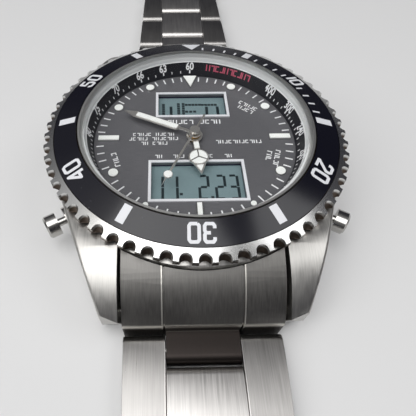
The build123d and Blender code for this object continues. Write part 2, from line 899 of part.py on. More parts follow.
def train_bridge():
    """The plate under the train, with the posts that its wheels turn on."""
    low_z = board_top_z() + seat_gap
    high_z = low_z + bridge_thickness
    body = disc(train_well_radius - part_gap, low_z, high_z)
    for angle in (minute_rotor_deg, second_rotor_deg):
        body -= turn_clockwise(angle, motor_space(low_z - overrun))
        x, y = place(angle, rotor_distance)
        body -= disc(rotor_magnet_radius + 2 * gear_gap, low_z - overrun, high_z + overrun, x, y)
    motion_x, motion_y = place(motion_axis_deg, motion_centre_distance)
    body += disc(post_shoulder_radius, low_z, cannon_wheel_z - seat_gap, motion_x, motion_y)
    body += disc(post_radius, low_z, hour_wheel_z + wheel_thickness, motion_x, motion_y)
    return only_solid(body - disc(second_pipe_radius + running_gap, low_z - overrun, high_z + overrun))


def movement_screws():
    """Four screws that hold the board and the plate together."""
    screws = []
    head_top = plate_floor_z - seat_gap
    for angle in screw_place_degs:
        x, y = place(angle, screw_place_radius)
        screw = disc(screw_head_radius, head_top - screw_head_height, head_top, x, y)
        screw += disc(screw_shank_radius, head_top - screw_head_height, head_top + screw_length, x, y)
        half = screw_head_radius
        slot = screw_head_height / 2
        screw -= block(x - half, x + half, y - slot / 2, y + slot / 2, head_top - 2 * slot, head_top - slot)
        screws.append(only_solid(screw))
    return Compound(children=screws)


# Hands and train
def hour_hand():
    """A stem, a round window plate with three spokes' room and a pointed tip."""
    low_z = hour_hand_z
    high_z = low_z + hand_thickness
    stem = block(-hour_stem_half_width, hour_stem_half_width, 0, hour_disc_place, low_z, high_z)
    head = disc(hour_disc_radius, low_z, high_z, 0, hour_disc_place)
    tip_y = hour_disc_place + hour_disc_radius - hand_thickness
    corners = [(-hour_tip_half_width, tip_y), (0, hour_tip_reach), (hour_tip_half_width, tip_y)]
    tip = plate_from(make_face(Polyline(*corners, close=True)), low_z, high_z)
    boss = disc(hour_boss_radius, low_z, high_z)
    hand = stem + head + tip + boss
    hand -= disc(hour_pipe_radius + press_gap, low_z - overrun, high_z + overrun)
    return turn_clockwise(hour_rest_deg, only_solid(hand))


def minute_hand():
    """A sword hand with a narrow neck and a pointed tip."""
    low_z = minute_hand_z
    high_z = low_z + hand_thickness
    corners = [
        (-minute_neck_half_width, 0),
        (-minute_neck_half_width, minute_neck_end),
        (-minute_half_width, minute_neck_end + minute_half_width),
        (-minute_half_width, minute_tip_start),
        (0, minute_reach),
        (minute_half_width, minute_tip_start),
        (minute_half_width, minute_neck_end + minute_half_width),
        (minute_neck_half_width, minute_neck_end),
        (minute_neck_half_width, 0),
    ]
    hand = plate_from(make_face(Polyline(*corners, close=True)), low_z, high_z)
    hand += disc(minute_boss_radius, low_z, high_z)
    hand -= disc(minute_pipe_radius + press_gap, low_z - overrun, high_z + overrun)
    return turn_clockwise(minute_rest_deg, only_solid(hand))


def second_hand():
    """A thin needle with a round plate near its tip, a tail and a capped boss."""
    low_z = second_hand_z
    high_z = low_z + hand_thickness
    half = second_half_width
    corners = [(-half, -second_tail), (-half, second_dot_place), (0, second_reach)]
    corners += [(half, second_dot_place), (half, -second_tail)]
    hand = plate_from(make_face(Polyline(*corners, close=True)), low_z, high_z)
    hand += disc(second_dot_radius, low_z, high_z, 0, second_dot_place)
    hand += disc(second_boss_radius, low_z, high_z + second_cap_height)
    hand -= disc(second_pipe_radius + press_gap, low_z - overrun, high_z)
    return turn_clockwise(second_rest_deg, only_solid(hand))


def second_arbor():
    """The seconds wheel, its shoulder and the thin post that carries the seconds hand."""
    low_z = second_wheel_z
    wheel = gear(drive_wheel_teeth, drive_module, low_z, low_z + wheel_thickness, second_pipe_radius / 2)
    arbor = wheel + disc(minute_pipe_radius, low_z, minute_drive_z - seat_gap)
    arbor += disc(second_pipe_radius, board_top_z() + 2 * seat_gap, second_hand_z + hand_thickness - seat_gap)
    return only_solid(arbor)


def cannon_pinion():
    """The minute pipe with its driven wheel and the pinion that drives the motion wheel."""
    bore = second_pipe_radius + running_gap
    low_z = minute_drive_z
    wheel = gear(drive_wheel_teeth, drive_module, low_z, low_z + wheel_thickness, bore)
    pinion = gear(cannon_teeth, module_motion, cannon_wheel_z, cannon_wheel_z + wheel_thickness, bore)
    pipe = ring(minute_pipe_radius, bore, low_z, minute_hand_z + hand_thickness)
    return only_solid(wheel + pinion + pipe)


def hour_wheel():
    """The hour pipe and its wheel."""
    bore = minute_pipe_radius + running_gap
    low_z = hour_wheel_z
    wheel = gear(hour_wheel_teeth, module_hour, low_z, low_z + wheel_thickness, bore)
    pipe = ring(hour_pipe_radius, bore, low_z, hour_hand_z + hand_thickness)
    return only_solid(wheel + pipe)


def motion_wheel():
    """The wheel and pinion that step the minute pipe down to the hour wheel."""
    bore = post_radius + running_gap
    phase = meshing_phase(motion_axis_deg, cannon_teeth, motion_wheel_teeth)
    low_z = cannon_wheel_z
    wheel = gear(motion_wheel_teeth, module_motion, low_z, low_z + wheel_thickness, bore, phase)
    pinion_phase = meshing_phase(motion_axis_deg, hour_wheel_teeth, motion_pinion_teeth)
    pinion_top = hour_wheel_z + wheel_thickness
    pinion = gear(motion_pinion_teeth, module_hour, low_z, pinion_top, bore, pinion_phase)
    x, y = place(motion_axis_deg, motion_centre_distance)
    return Pos(x, y, 0) * only_solid(wheel + pinion)


def rotor(axis_deg, drive_z):
    """A stepping rotor: magnet, shaft and the pinion that drives the hand's wheel."""
    phase = meshing_phase(axis_deg, drive_wheel_teeth, rotor_teeth)
    low_z = board_top_z() + seat_gap
    high_z = drive_z + wheel_thickness
    body = gear(rotor_teeth, drive_module, drive_z, high_z, second_pipe_radius / 2, phase)
    body += disc(second_pipe_radius, low_z, high_z)
    body += disc(rotor_magnet_radius, low_z, low_z + rotor_magnet_height)
    x, y = place(axis_deg, rotor_distance)
    return Pos(x, y, 0) * only_solid(body)


def minute_rotor():
    return rotor(minute_rotor_deg, minute_drive_z)


def second_rotor():
    return rotor(second_rotor_deg, second_wheel_z)


# Push buttons, drawn standing on Z and laid out of the case side
def pusher(angle):
    """A grooved head on a stem that reaches through the case wall."""
    head_inner = pusher_head_outer - pusher_head_length
    head = disc(pusher_head_radius, head_inner, pusher_head_outer - pusher_groove)
    cap = Pos(0, 0, pusher_head_outer - pusher_groove / 2) * Cone(
        pusher_head_radius, pusher_head_radius - pusher_groove, pusher_groove
    )
    stem = disc(pusher_stem_radius, pusher_stem_end, head_inner)
    return outward(angle, pusher_z, only_solid(head + cap + stem))


def tube(angle):
    """A pressed steel tube with a flange, one stroke short of the button's head."""
    mouth = pusher_head_outer - pusher_head_length - pusher_travel - part_gap
    body = disc(tube_radius, cavity_radius + seat_gap, tube_seat)
    body += disc(tube_flange_radius, tube_seat + seat_gap, mouth)
    body += disc(tube_radius, tube_seat, mouth)
    body -= disc(tube_bore_radius, cavity_radius + tube_floor, mouth - tube_floor)
    body -= disc(pusher_stem_radius + running_gap, cavity_radius - overrun, pusher_head_outer)
    return outward(angle, pusher_z, only_solid(body))


def seal(angle):
    """Two rubber rings' sleeve on the stem inside the tube."""
    low_z = cavity_radius + tube_floor + seat_gap
    body = ring(seal_radius, pusher_stem_radius + running_gap, low_z, low_z + seal_length)
    return outward(angle, pusher_z, body)


def return_spring(angle):
    """The envelope of the coil spring round the stem."""
    low_z = cavity_radius + tube_floor + seal_length + 2 * seat_gap
    body = ring(spring_radius, spring_radius - spring_wall, low_z, low_z + spring_length)
    return outward(angle, pusher_z, body)


def four_of(make):
    """The same piece at each push button."""
    return Compound(children=[make(angle) for angle in pusher_degs.values()])


# Bracelet, drawn towards +Y and turned for the other half
def end_piece():
    """The solid piece between the lugs, grooved as three, with its hinge tongue."""
    wall_y = sqrt(case_radius**2 - end_half_width**2)
    start_y = wall_y - overrun
    drop = (end_top_z - end_mid_z) / (end_mid_y - lug_slope_start_y)
    start_z = end_top_z + drop * (lug_slope_start_y - start_y)
    top = ThreePointArc((0, start_y, start_z), (0, end_mid_y, end_mid_z), (0, lug_reach, end_low_z))
    front = [(0, lug_reach, end_low_z), (0, lug_reach, end_floor_z)]
    rest = Polyline(*front, (0, start_y, end_floor_z), (0, start_y, start_z))
    body = extrude(make_face(top + rest), amount=end_half_width, both=True)
    body -= disc(case_radius + part_gap, end_floor_z - overrun, start_z + overrun)
    edges = [e for e in body.edges() if is_end_rim(e)]
    body = fillet(edges, radius=end_edge_radius)
    for side in (-1, 1):
        low_x, high_x = sorted((side * centre_half, side * (centre_half + end_groove)))
        groove = block(low_x, high_x, start_y, lug_reach + overrun, end_floor_z - overrun, start_z + overrun)
        core = Pos(0, 0, -end_groove) * extrude(make_face(top + rest), amount=end_half_width, both=True)
        inner = core & block(low_x, high_x, start_y, lug_reach - end_groove, end_floor_z - overrun, start_z)
        body -= groove - inner
    far_y = first_pivot_y + link_ear_reach
    tongue = rounded_bar(-centre_half + side_gap, centre_half - side_gap, lug_bar_y, far_y)
    body += tongue
    body -= disc(case_radius + part_gap, -overrun, start_z + overrun)
    body -= bar_along_x(lug_bar_radius + seat_gap, end_half_width + overrun, lug_bar_y, lug_bar_z)
    body -= bar_along_x(pin_radius + running_gap, end_half_width, first_pivot_y, pivot_z)
    return only_solid(body)


def is_end_rim(edge):
    """True for the lower outer edge that faces the first link."""
    middle = edge.position_at(0.5)
    start = edge.position_at(0)
    end = edge.position_at(1)
    across = abs(start.X - end.X) > end_half_width
    return across and abs(middle.Y - lug_reach) < seat_gap and middle.Z > pivot_z


def rounded_bar(low_x, high_x, low_y, high_y):
    """A bracelet bar, crowned lengthwise, with its two ends rounded about the hinge line."""
    bar = block(low_x, high_x, low_y, high_y, 0, link_thickness)
    reach = max(abs(low_x), abs(high_x)) + overrun
    bar &= bar_along_x(link_crown_radius, reach, (low_y + high_y) / 2, link_thickness - link_crown_radius)
    width = high_x - low_x
    ends = [e for e in bar.edges() if abs(e.length - width) < seat_gap]
    return fillet(ends, radius=link_edge_radius)


def tapered_bar(corners, low_y, high_y):
    """A rounded bar whose sides follow the bracelet's taper."""
    low_left, low_right, high_left, high_right = corners
    reach = max(abs(low_left), abs(low_right), abs(high_left), abs(high_right)) + overrun
    bar = rounded_bar(-reach, reach, low_y, high_y)
    points = [(low_left, low_y), (low_right, low_y), (high_right, high_y), (high_left, high_y)]
    outline = make_face(Polyline(*points, close=True))
    return bar & plate_from(outline, -overrun, link_thickness + overrun)


def width_at(y):
    """The bracelet's width at a distance from the case's centre."""
    run = y - (first_pivot_y - link_ear_reach)
    return max(link_first_width - link_taper * run / link_pitch, link_least_width)


def link(number):
    """Two outer bars and a centre bar half a step further out, with its hinge pin."""
    pivot_y = first_pivot_y + number * link_pitch
    low_y = pivot_y - link_ear_reach
    high_y = low_y + link_body
    centre_low_y = pivot_y + link_ear_reach + link_split_gap
    centre_high_y = pivot_y + link_pitch + link_ear_reach
    near = width_at(low_y) / 2
    far = width_at(high_y) / 2
    body = None
    for side in (-1, 1):
        near_x = sorted((side * centre_half, side * near))
        far_x = sorted((side * centre_half, side * far))
        outer = tapered_bar((near_x[0], near_x[1], far_x[0], far_x[1]), low_y, high_y)
        body = outer if body is None else body + outer
    next_inner = centre_half - side_gap
    centre = rounded_bar(-next_inner, next_inner, centre_low_y, centre_high_y)
    body += centre
    web_low = centre_low_y + link_edge_radius
    web_high = high_y - link_edge_radius
    low_z = (link_thickness - link_web_thickness) / 2
    web_reach = centre_half + side_gap
    body += block(-web_reach, web_reach, web_low, web_high, low_z, low_z + link_web_thickness)
    body -= bar_along_x(pin_radius + press_gap, near + overrun, pivot_y, pivot_z)
    body -= bar_along_x(pin_radius + running_gap, next_inner + overrun / 2, pivot_y + link_pitch, pivot_z)
    pin = bar_along_x(pin_radius, near - part_gap, pivot_y, pivot_z)
    return Compound(children=[only_solid(body), pin])


def lower_half(shape):
    """A piece of the twelve o'clock half turned to the six o'clock half."""
    return Rot(0, 0, 180) * shape


def spring_bars():
    """The two sprung bars in the lugs, each with its shoulders and tips."""
    bars = []
    for side in (-1, 1):
        y = side * lug_bar_y
        bar = bar_along_x(lug_bar_radius, lug_half_gap - part_gap, y, lug_bar_z)
        bar += bar_along_x(lug_bar_tip_radius, lug_half_gap + lug_bar_tip_length, y, lug_bar_z)
        bars.append(only_solid(bar))
    return Compound(children=bars)


# Clasp, drawn towards +Y past the last link of the six o'clock half
clasp_pivot_y = first_pivot_y + lower_link_count * link_pitch
cover_hinge_z = long_blade_z + blade_thickness / 2 - hinge_pin_radius
cover_end_radius = cover_top_z - cover_hinge_z
cover_start_y = clasp_pivot_y - cover_lead
cover_end_y = cover_start_y + cover_length
cover_hinge_y = cover_end_y - cover_end_radius
cover_half_width = cover_width / 2
blade_hinge_y = cover_hinge_y - long_blade_length
blade_hinge_z = (long_blade_z + short_blade_z + blade_thickness) / 2
blade_half_width = blade_width / 2
blade_end_y = cover_hinge_y + short_blade_extra
flap_half_width = cover_half_width + flap_rise + flap_cheek


def clasp_cover():
    """A folded steel cover: top plate, round end, two side walls with adjusting holes."""
    inner = cover_half_width - cover_wall
    body = block(-cover_half_width, cover_half_width, cover_start_y, cover_end_y, cover_floor_z, cover_top_z)
    body = fillet([e for e in body.edges() if is_cover_edge(e)], radius=cover_edge_radius)
    ceiling = cover_top_z - cover_plate
    near_y = cover_start_y - overrun
    body -= block(-inner, inner, near_y, cover_end_y + overrun, cover_floor_z - overrun, ceiling)
    far_y = cover_end_y + overrun
    corner = block(-cover_half_width, cover_half_width, cover_hinge_y, far_y, 0, cover_top_z + overrun)
    body -= corner - bar_along_x(cover_end_radius, cover_half_width + overrun, cover_hinge_y, cover_hinge_z)
    body -= bar_along_x(hinge_pin_radius + press_gap, cover_width, cover_hinge_y, cover_hinge_z)
    for number in range(adjust_hole_count):
        y = clasp_pivot_y + number * adjust_hole_pitch
        body -= bar_along_x(adjust_hole_radius, cover_width, y, pivot_z)
    pin = bar_along_x(hinge_pin_radius, flap_half_width - part_gap, cover_hinge_y, cover_hinge_z)
    return Compound(children=[only_solid(body), pin])


def is_cover_edge(edge):
    """True for the two long top edges of the cover."""
    return edge.length > cover_length / 2 and edge.position_at(0.5).Z > cover_top_z - seat_gap


def clasp_spring_bar():
    """The sprung bar that joins the last link to the cover's chosen holes."""
    bar = bar_along_x(pin_radius, cover_half_width - cover_wall - part_gap, clasp_pivot_y, pivot_z)
    bar += bar_along_x(adjust_hole_radius - running_gap, cover_half_width - part_gap, clasp_pivot_y, pivot_z)
    return only_solid(bar)


def knuckle(y, z, bore_gap):
    """A rolled blade end and the bore through it."""
    barrel = bar_along_x(hinge_knuckle_radius, blade_half_width, y, z)
    return barrel, bar_along_x(hinge_pin_radius + bore_gap, blade_width, y, z)


def knuckle_space(low_x, high_x):
    """The space round the blades' shared hinge across part of their width."""
    reach = hinge_knuckle_radius + part_gap
    low_z = blade_hinge_z - reach
    return block(low_x, high_x, blade_hinge_y - reach, blade_hinge_y + reach, low_z, blade_hinge_z + reach)


def long_blade():
    """The blade that hangs from the far end of the cover."""
    high_z = long_blade_z + blade_thickness
    body = block(-blade_half_width, blade_half_width, blade_hinge_y, cover_hinge_y, long_blade_z, high_z)
    near_barrel, near_bore = knuckle(blade_hinge_y, blade_hinge_z, running_gap)
    far_barrel, far_bore = knuckle(cover_hinge_y, cover_hinge_z, running_gap)
    body += near_barrel + far_barrel
    body -= near_bore + far_bore
    quarter = blade_half_width / 2 + part_gap
    return only_solid(body - knuckle_space(-quarter, quarter))


def short_blade():
    """The blade that folds under the long one and ends in the eye for the free half."""
    eye_z = short_blade_z + hinge_knuckle_radius
    high_z = short_blade_z + blade_thickness
    body = block(-blade_half_width, blade_half_width, blade_hinge_y, blade_end_y, short_blade_z, high_z)
    near_barrel, near_bore = knuckle(blade_hinge_y, blade_hinge_z, press_gap)
    far_barrel, far_bore = knuckle(blade_end_y, eye_z, running_gap)
    body += near_barrel + far_barrel
    body -= near_bore + far_bore
    quarter = blade_half_width / 2
    body -= knuckle_space(quarter, blade_width) + knuckle_space(-blade_width, -quarter)
    pin = bar_along_x(hinge_pin_radius, blade_half_width - part_gap, blade_hinge_y, blade_hinge_z)
    return Compound(children=[only_solid(body), pin])


def safety_flap():
    """The small cap that folds back over the end of the cover and locks it."""
    low_z = cover_top_z + flap_rise
    high_z = low_z + flap_plate
    start_y = cover_end_y - flap_length
    body = block(-flap_half_width, flap_half_width, start_y, cover_hinge_y, low_z, high_z)
    lip_half = cover_half_width / 2
    body += block(-lip_half, lip_half, start_y - flap_nail_lip, start_y, low_z, high_z)
    for side in (-1, 1):
        low_x, high_x = sorted((side * (flap_half_width - flap_cheek), side * flap_half_width))
        cheek = block(low_x, high_x, cover_hinge_y - flap_cheek_length, cover_hinge_y, cover_hinge_z, high_z)
        cheek += bar_along_x(flap_cheek_length, flap_half_width, cover_hinge_y, cover_hinge_z) & block(
            low_x, high_x, cover_hinge_y - flap_cheek_length, cover_end_y, 0, high_z
        )
        body += cheek
    pin_reach = flap_half_width + overrun
    body -= bar_along_x(hinge_pin_radius + running_gap, pin_reach, cover_hinge_y, cover_hinge_z)
    return only_solid(body)


# All nodes and their files
def sub_parts():
    parts = {
        "mid_case": mid_case(),
        "case_back": case_back(),
        "case_back_gasket": case_back_gasket(),
        "bezel_ring": bezel_ring(),
        "bezel_insert": bezel_insert(),
        "click_spring": click_spring(),
        "crystal": crystal(),
        "crystal_gasket": crystal_gasket(),
        "tachymeter_ring": tachymeter_ring(),
        "dial": dial(),
        "window_frames": window_frames(),
        "hour_markers": hour_markers(),
        "solar_cell": solar_cell(),
        "lower_display": lower_display(),
        "upper_display": upper_display(),
        "display_connectors": display_connectors(),
        "movement_plate": movement_plate(),
        "circuit_board": circuit_board(),
        "rechargeable_cell": rechargeable_cell(),
        "cell_strap": cell_strap(),
        "antenna_core": antenna_core(),
        "antenna_coil": antenna_coil(),
        "motor_coils": motor_coils(),
        "motor_stators": motor_stators(),
        "train_bridge": train_bridge(),
        "movement_screws": movement_screws(),
        "hour_hand": hour_hand(),
        "hour_wheel": hour_wheel(),
        "minute_hand": minute_hand(),
        "cannon_pinion": cannon_pinion(),
        "motion_wheel": motion_wheel(),
        "second_hand": second_hand(),
        "second_arbor": second_arbor(),
        "minute_rotor": minute_rotor(),
        "second_rotor": second_rotor(),
        "pusher_tubes": four_of(tube),
        "pusher_seals": four_of(seal),
        "pusher_springs": four_of(return_spring),
        "end_piece_12": end_piece(),
        "end_piece_6": lower_half(end_piece()),
        "spring_bars": spring_bars(),
        "clasp_cover": lower_half(clasp_cover()),
        "clasp_spring_bar": lower_half(clasp_spring_bar()),
        "long_blade": lower_half(long_blade()),
        "short_blade": lower_half(short_blade()),
        "safety_flap": lower_half(safety_flap()),
    }
    for name, angle in pusher_degs.items():
        parts["pusher_" + name] = pusher(angle)
    for number in range(upper_link_count):
        parts["link_12_" + str(number + 1)] = link(number)
    for number in range(lower_link_count):
        parts["link_6_" + str(number + 1)] = lower_half(link(number))
    return parts


os.makedirs("parts", exist_ok=True)
for node, shape in sub_parts().items():
    export_step(shape, os.path.join("parts", node + ".step"))
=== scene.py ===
import json
import math

import bmesh
import bpy
from bpy.props import FloatProperty, FloatVectorProperty, PointerProperty
from bpy.types import Operator, Panel, PropertyGroup
from mathutils import Matrix, Vector

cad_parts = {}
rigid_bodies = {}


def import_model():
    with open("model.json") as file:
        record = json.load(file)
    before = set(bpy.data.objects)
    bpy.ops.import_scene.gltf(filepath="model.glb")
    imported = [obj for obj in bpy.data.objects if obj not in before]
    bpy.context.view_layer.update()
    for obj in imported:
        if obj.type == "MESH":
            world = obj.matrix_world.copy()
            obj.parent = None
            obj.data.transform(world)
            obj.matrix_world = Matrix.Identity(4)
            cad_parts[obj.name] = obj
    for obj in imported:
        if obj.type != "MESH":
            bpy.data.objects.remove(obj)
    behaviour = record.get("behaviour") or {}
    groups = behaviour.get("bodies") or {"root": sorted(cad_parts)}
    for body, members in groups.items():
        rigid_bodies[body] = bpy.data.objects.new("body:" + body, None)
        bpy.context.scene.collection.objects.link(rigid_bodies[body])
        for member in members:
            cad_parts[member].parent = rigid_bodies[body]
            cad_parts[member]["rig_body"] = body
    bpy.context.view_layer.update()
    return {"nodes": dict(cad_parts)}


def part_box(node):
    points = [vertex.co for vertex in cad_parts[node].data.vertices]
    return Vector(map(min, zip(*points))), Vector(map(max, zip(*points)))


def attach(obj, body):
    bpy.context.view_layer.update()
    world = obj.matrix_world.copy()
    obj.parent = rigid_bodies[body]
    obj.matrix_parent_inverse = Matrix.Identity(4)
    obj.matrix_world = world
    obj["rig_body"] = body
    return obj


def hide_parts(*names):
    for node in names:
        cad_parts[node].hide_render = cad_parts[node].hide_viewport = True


bl_info = {
    "name": "Analogue-digital wristwatch",
    "version": (1, 0, 0),
    "blender": (4, 5, 0),
    "location": "3D View > Sidebar > Watch",
    "description": "Dresses the steel wristwatch: metal finishes, scales, dial, displays, hands and studio",
    "category": "Object",
}

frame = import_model()
MM = 0.001


# Settings that a user would change
class WatchSizes(PropertyGroup):
    """Sizes of the printed and applied details."""

    print_height: FloatProperty(
        name="Print height", description="Thickness of a printed mark", default=0.03 * MM, unit="LENGTH"
    )
    paint_height: FloatProperty(
        name="Paint height", description="Thickness of the luminous paint", default=0.1 * MM, unit="LENGTH"
    )
    edge_round: FloatProperty(
        name="Edge rounding",
        description="Width of the bevel on worn steel edges",
        default=0.09 * MM,
        unit="LENGTH",
    )
    numeral_height: FloatProperty(
        name="Bezel numeral height",
        description="Height of the bezel's numerals",
        default=2.5 * MM,
        unit="LENGTH",
    )
    scale_numeral_height: FloatProperty(
        name="Ring numeral height",
        description="Height of the sloping ring's numerals",
        default=1.22 * MM,
        unit="LENGTH",
    )


class WatchColours(PropertyGroup):
    """Colours of the finishes."""

    steel: FloatVectorProperty(
        name="Steel",
        description="Colour of the brushed steel",
        default=(0.47, 0.46, 0.44),
        size=3,
        subtype="COLOR",
    )
    polished: FloatVectorProperty(
        name="Polished steel",
        description="Colour of the polished steel",
        default=(0.64, 0.64, 0.63),
        size=3,
        subtype="COLOR",
    )
    dial: FloatVectorProperty(
        name="Dial", description="Colour of the dial", default=(0.15, 0.15, 0.16), size=3, subtype="COLOR"
    )
    insert: FloatVectorProperty(
        name="Bezel insert",
        description="Colour of the bezel's insert",
        default=(0.004, 0.004, 0.009),
        size=3,
        subtype="COLOR",
    )
    paint: FloatVectorProperty(
        name="Luminous paint",
        description="Colour of the luminous paint",
        default=(0.94, 0.96, 0.93),
        size=3,
        subtype="COLOR",
    )
    display: FloatVectorProperty(
        name="Display",
        description="Colour of the resting display",
        default=(0.24, 0.34, 0.36),
        size=3,
        subtype="COLOR",
    )
    floor: FloatVectorProperty(
        name="Floor", description="Colour of the floor", default=(0.74, 0.74, 0.74), size=3, subtype="COLOR"
    )


# Building shader nodes
def node_of(tree, kind, **settings):
    """A node with some of its settings given."""
    node = tree.nodes.new(kind)
    for key, value in settings.items():
        setattr(node, key, value)
    return node


def feed(tree, target, value):
    """Links an output into an input, or sets the input to a plain value."""
    if isinstance(value, bpy.types.NodeSocket):
        tree.links.new(value, target)
    elif target.type == "RGBA":
        target.default_value = (*value, 1.0)
    else:
        target.default_value = value


def fill(tree, node, **values):
    """Feeds a node's inputs by name, with an underscore for each space."""
    for label, value in values.items():
        feed(tree, node.inputs[label.replace("_", " ")], value)
    return node


def maths(tree, operation, *values, use_clamp=False):
    """The result of a math node whose values are numbers or outputs."""
    node = node_of(tree, "ShaderNodeMath", operation=operation, use_clamp=use_clamp)
    for target, value in zip(node.inputs, values):
        feed(tree, target, value)
    return node.outputs[0]


def vector_maths(tree, operation, *values):
    """The result of a vector math node whose values are vectors or outputs."""
    node = node_of(tree, "ShaderNodeVectorMath", operation=operation)
    for target, value in zip(node.inputs, values):
        feed(tree, target, value)
    return node.outputs["Value" if operation in ("LENGTH", "DOT_PRODUCT") else "Vector"]


def ranged(tree, value, low, high, bottom=0.0, top=1.0, smooth=False):
    """A value carried from one range over to another."""
    node = node_of(tree, "ShaderNodeMapRange", interpolation_type="SMOOTHSTEP" if smooth else "LINEAR")
    fill(tree, node, Value=value, From_Min=low, From_Max=high, To_Min=bottom, To_Max=top)
    return node.outputs["Result"]


def mixed(tree, under, over, mask, blend="MIX"):
    """A colour laid over another where a mask says so; both are plain colours or outputs."""
    mix = node_of(tree, "ShaderNodeMix", data_type="RGBA", blend_type=blend)
    return fill(tree, mix, Factor=mask, A=under, B=over).outputs["Result"]


def noise(tree, vector, scale):
    """Cloudy noise."""
    return fill(tree, node_of(tree, "ShaderNodeTexNoise"), Vector=vector, Scale=scale).outputs["Fac"]


def object_place(tree):
    """The place of a point on its own piece."""
    return node_of(tree, "ShaderNodeTexCoord").outputs["Object"]


def object_axes(tree):
    """The same place as outputs X, Y and Z."""
    return fill(tree, node_of(tree, "ShaderNodeSeparateXYZ"), Vector=object_place(tree)).outputs


def ramp_between(tree, value, low, high):
    """A smooth mask that rises as a value goes from one place to another, in mm."""
    return ranged(tree, value, low * MM, high * MM, smooth=True)


def flat_place(tree):
    """The place of a point on its own piece, seen from above."""
    return vector_maths(tree, "MULTIPLY", object_place(tree), (1.0, 1.0, 0.0))


def radius_mask(tree, inner, outer):
    """A mask that rises from one radius about the dial's axis to another, in mm."""
    return ramp_between(tree, vector_maths(tree, "LENGTH", flat_place(tree)), inner, outer)


def switch_surface(tree, mask, usual, other):
    """Sends a shader to the output, and another one where a mask says so."""
    mix = node_of(tree, "ShaderNodeMixShader")
    for target, source in zip(mix.inputs, (mask, usual.outputs[0], other.outputs[0])):
        feed(tree, target, source)
    output = next(node for node in tree.nodes if node.type.startswith("OUTPUT"))
    fill(tree, output, Surface=mix.outputs[0])


# Effects shared by the finishes
def group_of(name, inputs, outputs):
    """An empty shader node group with its sockets, and its two end nodes."""
    tree = bpy.data.node_groups.new(name, "ShaderNodeTree")
    for label, value in inputs.items():
        kind = "NodeSocketFloat" if isinstance(value, float) else "NodeSocketVector"
        tree.interface.new_socket(name=label, in_out="INPUT", socket_type=kind).default_value = value
    for label in outputs:
        tree.interface.new_socket(name=label, in_out="OUTPUT", socket_type="NodeSocketFloat")
    return tree, tree.nodes.new("NodeGroupInput").outputs, tree.nodes.new("NodeGroupOutput")


def make_grain_group():
    """Long scratches of brushed metal: a tone, a roughness and a height."""
    inputs = {"Stretch": (1.0, 1.0, 1.0), "Base Roughness": 0.3, "Contrast": 0.5}
    tree, given, end = group_of("brushed_grain", inputs, ("Tone", "Roughness", "Height"))
    place = object_place(tree)
    scratches = noise(tree, vector_maths(tree, "MULTIPLY", place, given["Stretch"]), 1.0)
    uneven = maths(tree, "MULTIPLY", maths(tree, "SUBTRACT", scratches, 0.5), given["Contrast"])
    smudged = maths(tree, "MULTIPLY_ADD", noise(tree, place, 260.0), 0.12, uneven)
    rough = maths(tree, "ADD", smudged, given["Base Roughness"], use_clamp=True)
    tone = ranged(tree, scratches, 0.3, 0.7, 0.88, 1.1)
    fill(tree, end, Tone=tone, Roughness=rough, Height=scratches)
    return tree


def make_dust_group():
    """Faint specks of a used surface in scattered patches, as a mask."""
    tree, given, end = group_of("used_surface", {"Amount": 0.3, "Scale": 900.0}, ("Mask",))
    place = object_place(tree)
    cells = fill(tree, node_of(tree, "ShaderNodeTexVoronoi"), Vector=place, Scale=given["Scale"])
    specks = ranged(tree, cells.outputs["Distance"], 0.05, 0.16, 1.0, 0.0)
    patches = ranged(tree, noise(tree, place, 340.0), 0.5, 0.68)
    both = maths(tree, "MULTIPLY", specks, patches)
    fill(tree, end, Mask=maths(tree, "MULTIPLY", both, given["Amount"]))
    return tree


def effect(tree, name, **values):
    """A shared effect, built once, placed in a material with its own values."""
    makers = {"brushed_grain": make_grain_group, "used_surface": make_dust_group}
    group = bpy.data.node_groups.get(name) or makers[name]()
    return fill(tree, node_of(tree, "ShaderNodeGroup", node_tree=group), **values).outputs


# Finishes
def new_finish(name):
    """A material with a bare Principled shader."""
    material = bpy.data.materials.new(name)
    material.use_nodes = True
    tree = material.node_tree
    tree.nodes.clear()
    shader = node_of(tree, "ShaderNodeBsdfPrincipled")
    fill(tree, node_of(tree, "ShaderNodeOutputMaterial"), Surface=shader.outputs["BSDF"])
    return material, tree, shader


def brushed_base(name, colour, stretch, roughness, contrast=0.2):
    """Steel with long fine scratches, with what another finish needs to go on from it."""
    material, tree, shader = new_finish(name)
    grain = effect(tree, "brushed_grain", Stretch=stretch, Base_Roughness=roughness, Contrast=contrast)
    tinted = mixed(tree, colour, grain["Tone"], 1.0, "MULTIPLY")
    lift = node_of(tree, "ShaderNodeBump")
    fill(tree, lift, Strength=0.04, Distance=0.01 * MM, Height=grain["Height"])
    fill(tree, shader, Base_Color=tinted, Roughness=grain["Roughness"], Metallic=1.0)
    fill(tree, shader, Normal=lift.outputs["Normal"])
    return material, tree, shader, tinted


def brushed_metal(name, colour, stretch, roughness):
    """Steel with long fine scratches across or along the piece."""
    return brushed_base(name, colour, stretch, roughness)[0]


POLISH_RADIUS = 16.4
POLISH_FADE = 0.05
POLISH_COLOUR = (0.62, 0.62, 0.6)


def case_finish(name, colour):
    """Brushed steel with a satin band around the bezel's seat."""
    material, tree, shader, tinted = brushed_base(name, colour, (9000.0, 220.0, 900.0), 0.3)
    outside = radius_mask(tree, POLISH_RADIUS - POLISH_FADE, POLISH_RADIUS)
    inside = radius_mask(tree, POLISH_RADIUS, POLISH_RADIUS - POLISH_FADE)
    grain = shader.inputs["Roughness"].links[0].from_socket
    rough = ranged(tree, outside, 0.0, 1.0, 0.38, grain)
    fill(tree, shader, Roughness=rough, Base_Color=mixed(tree, tinted, POLISH_COLOUR, inside))
    return material


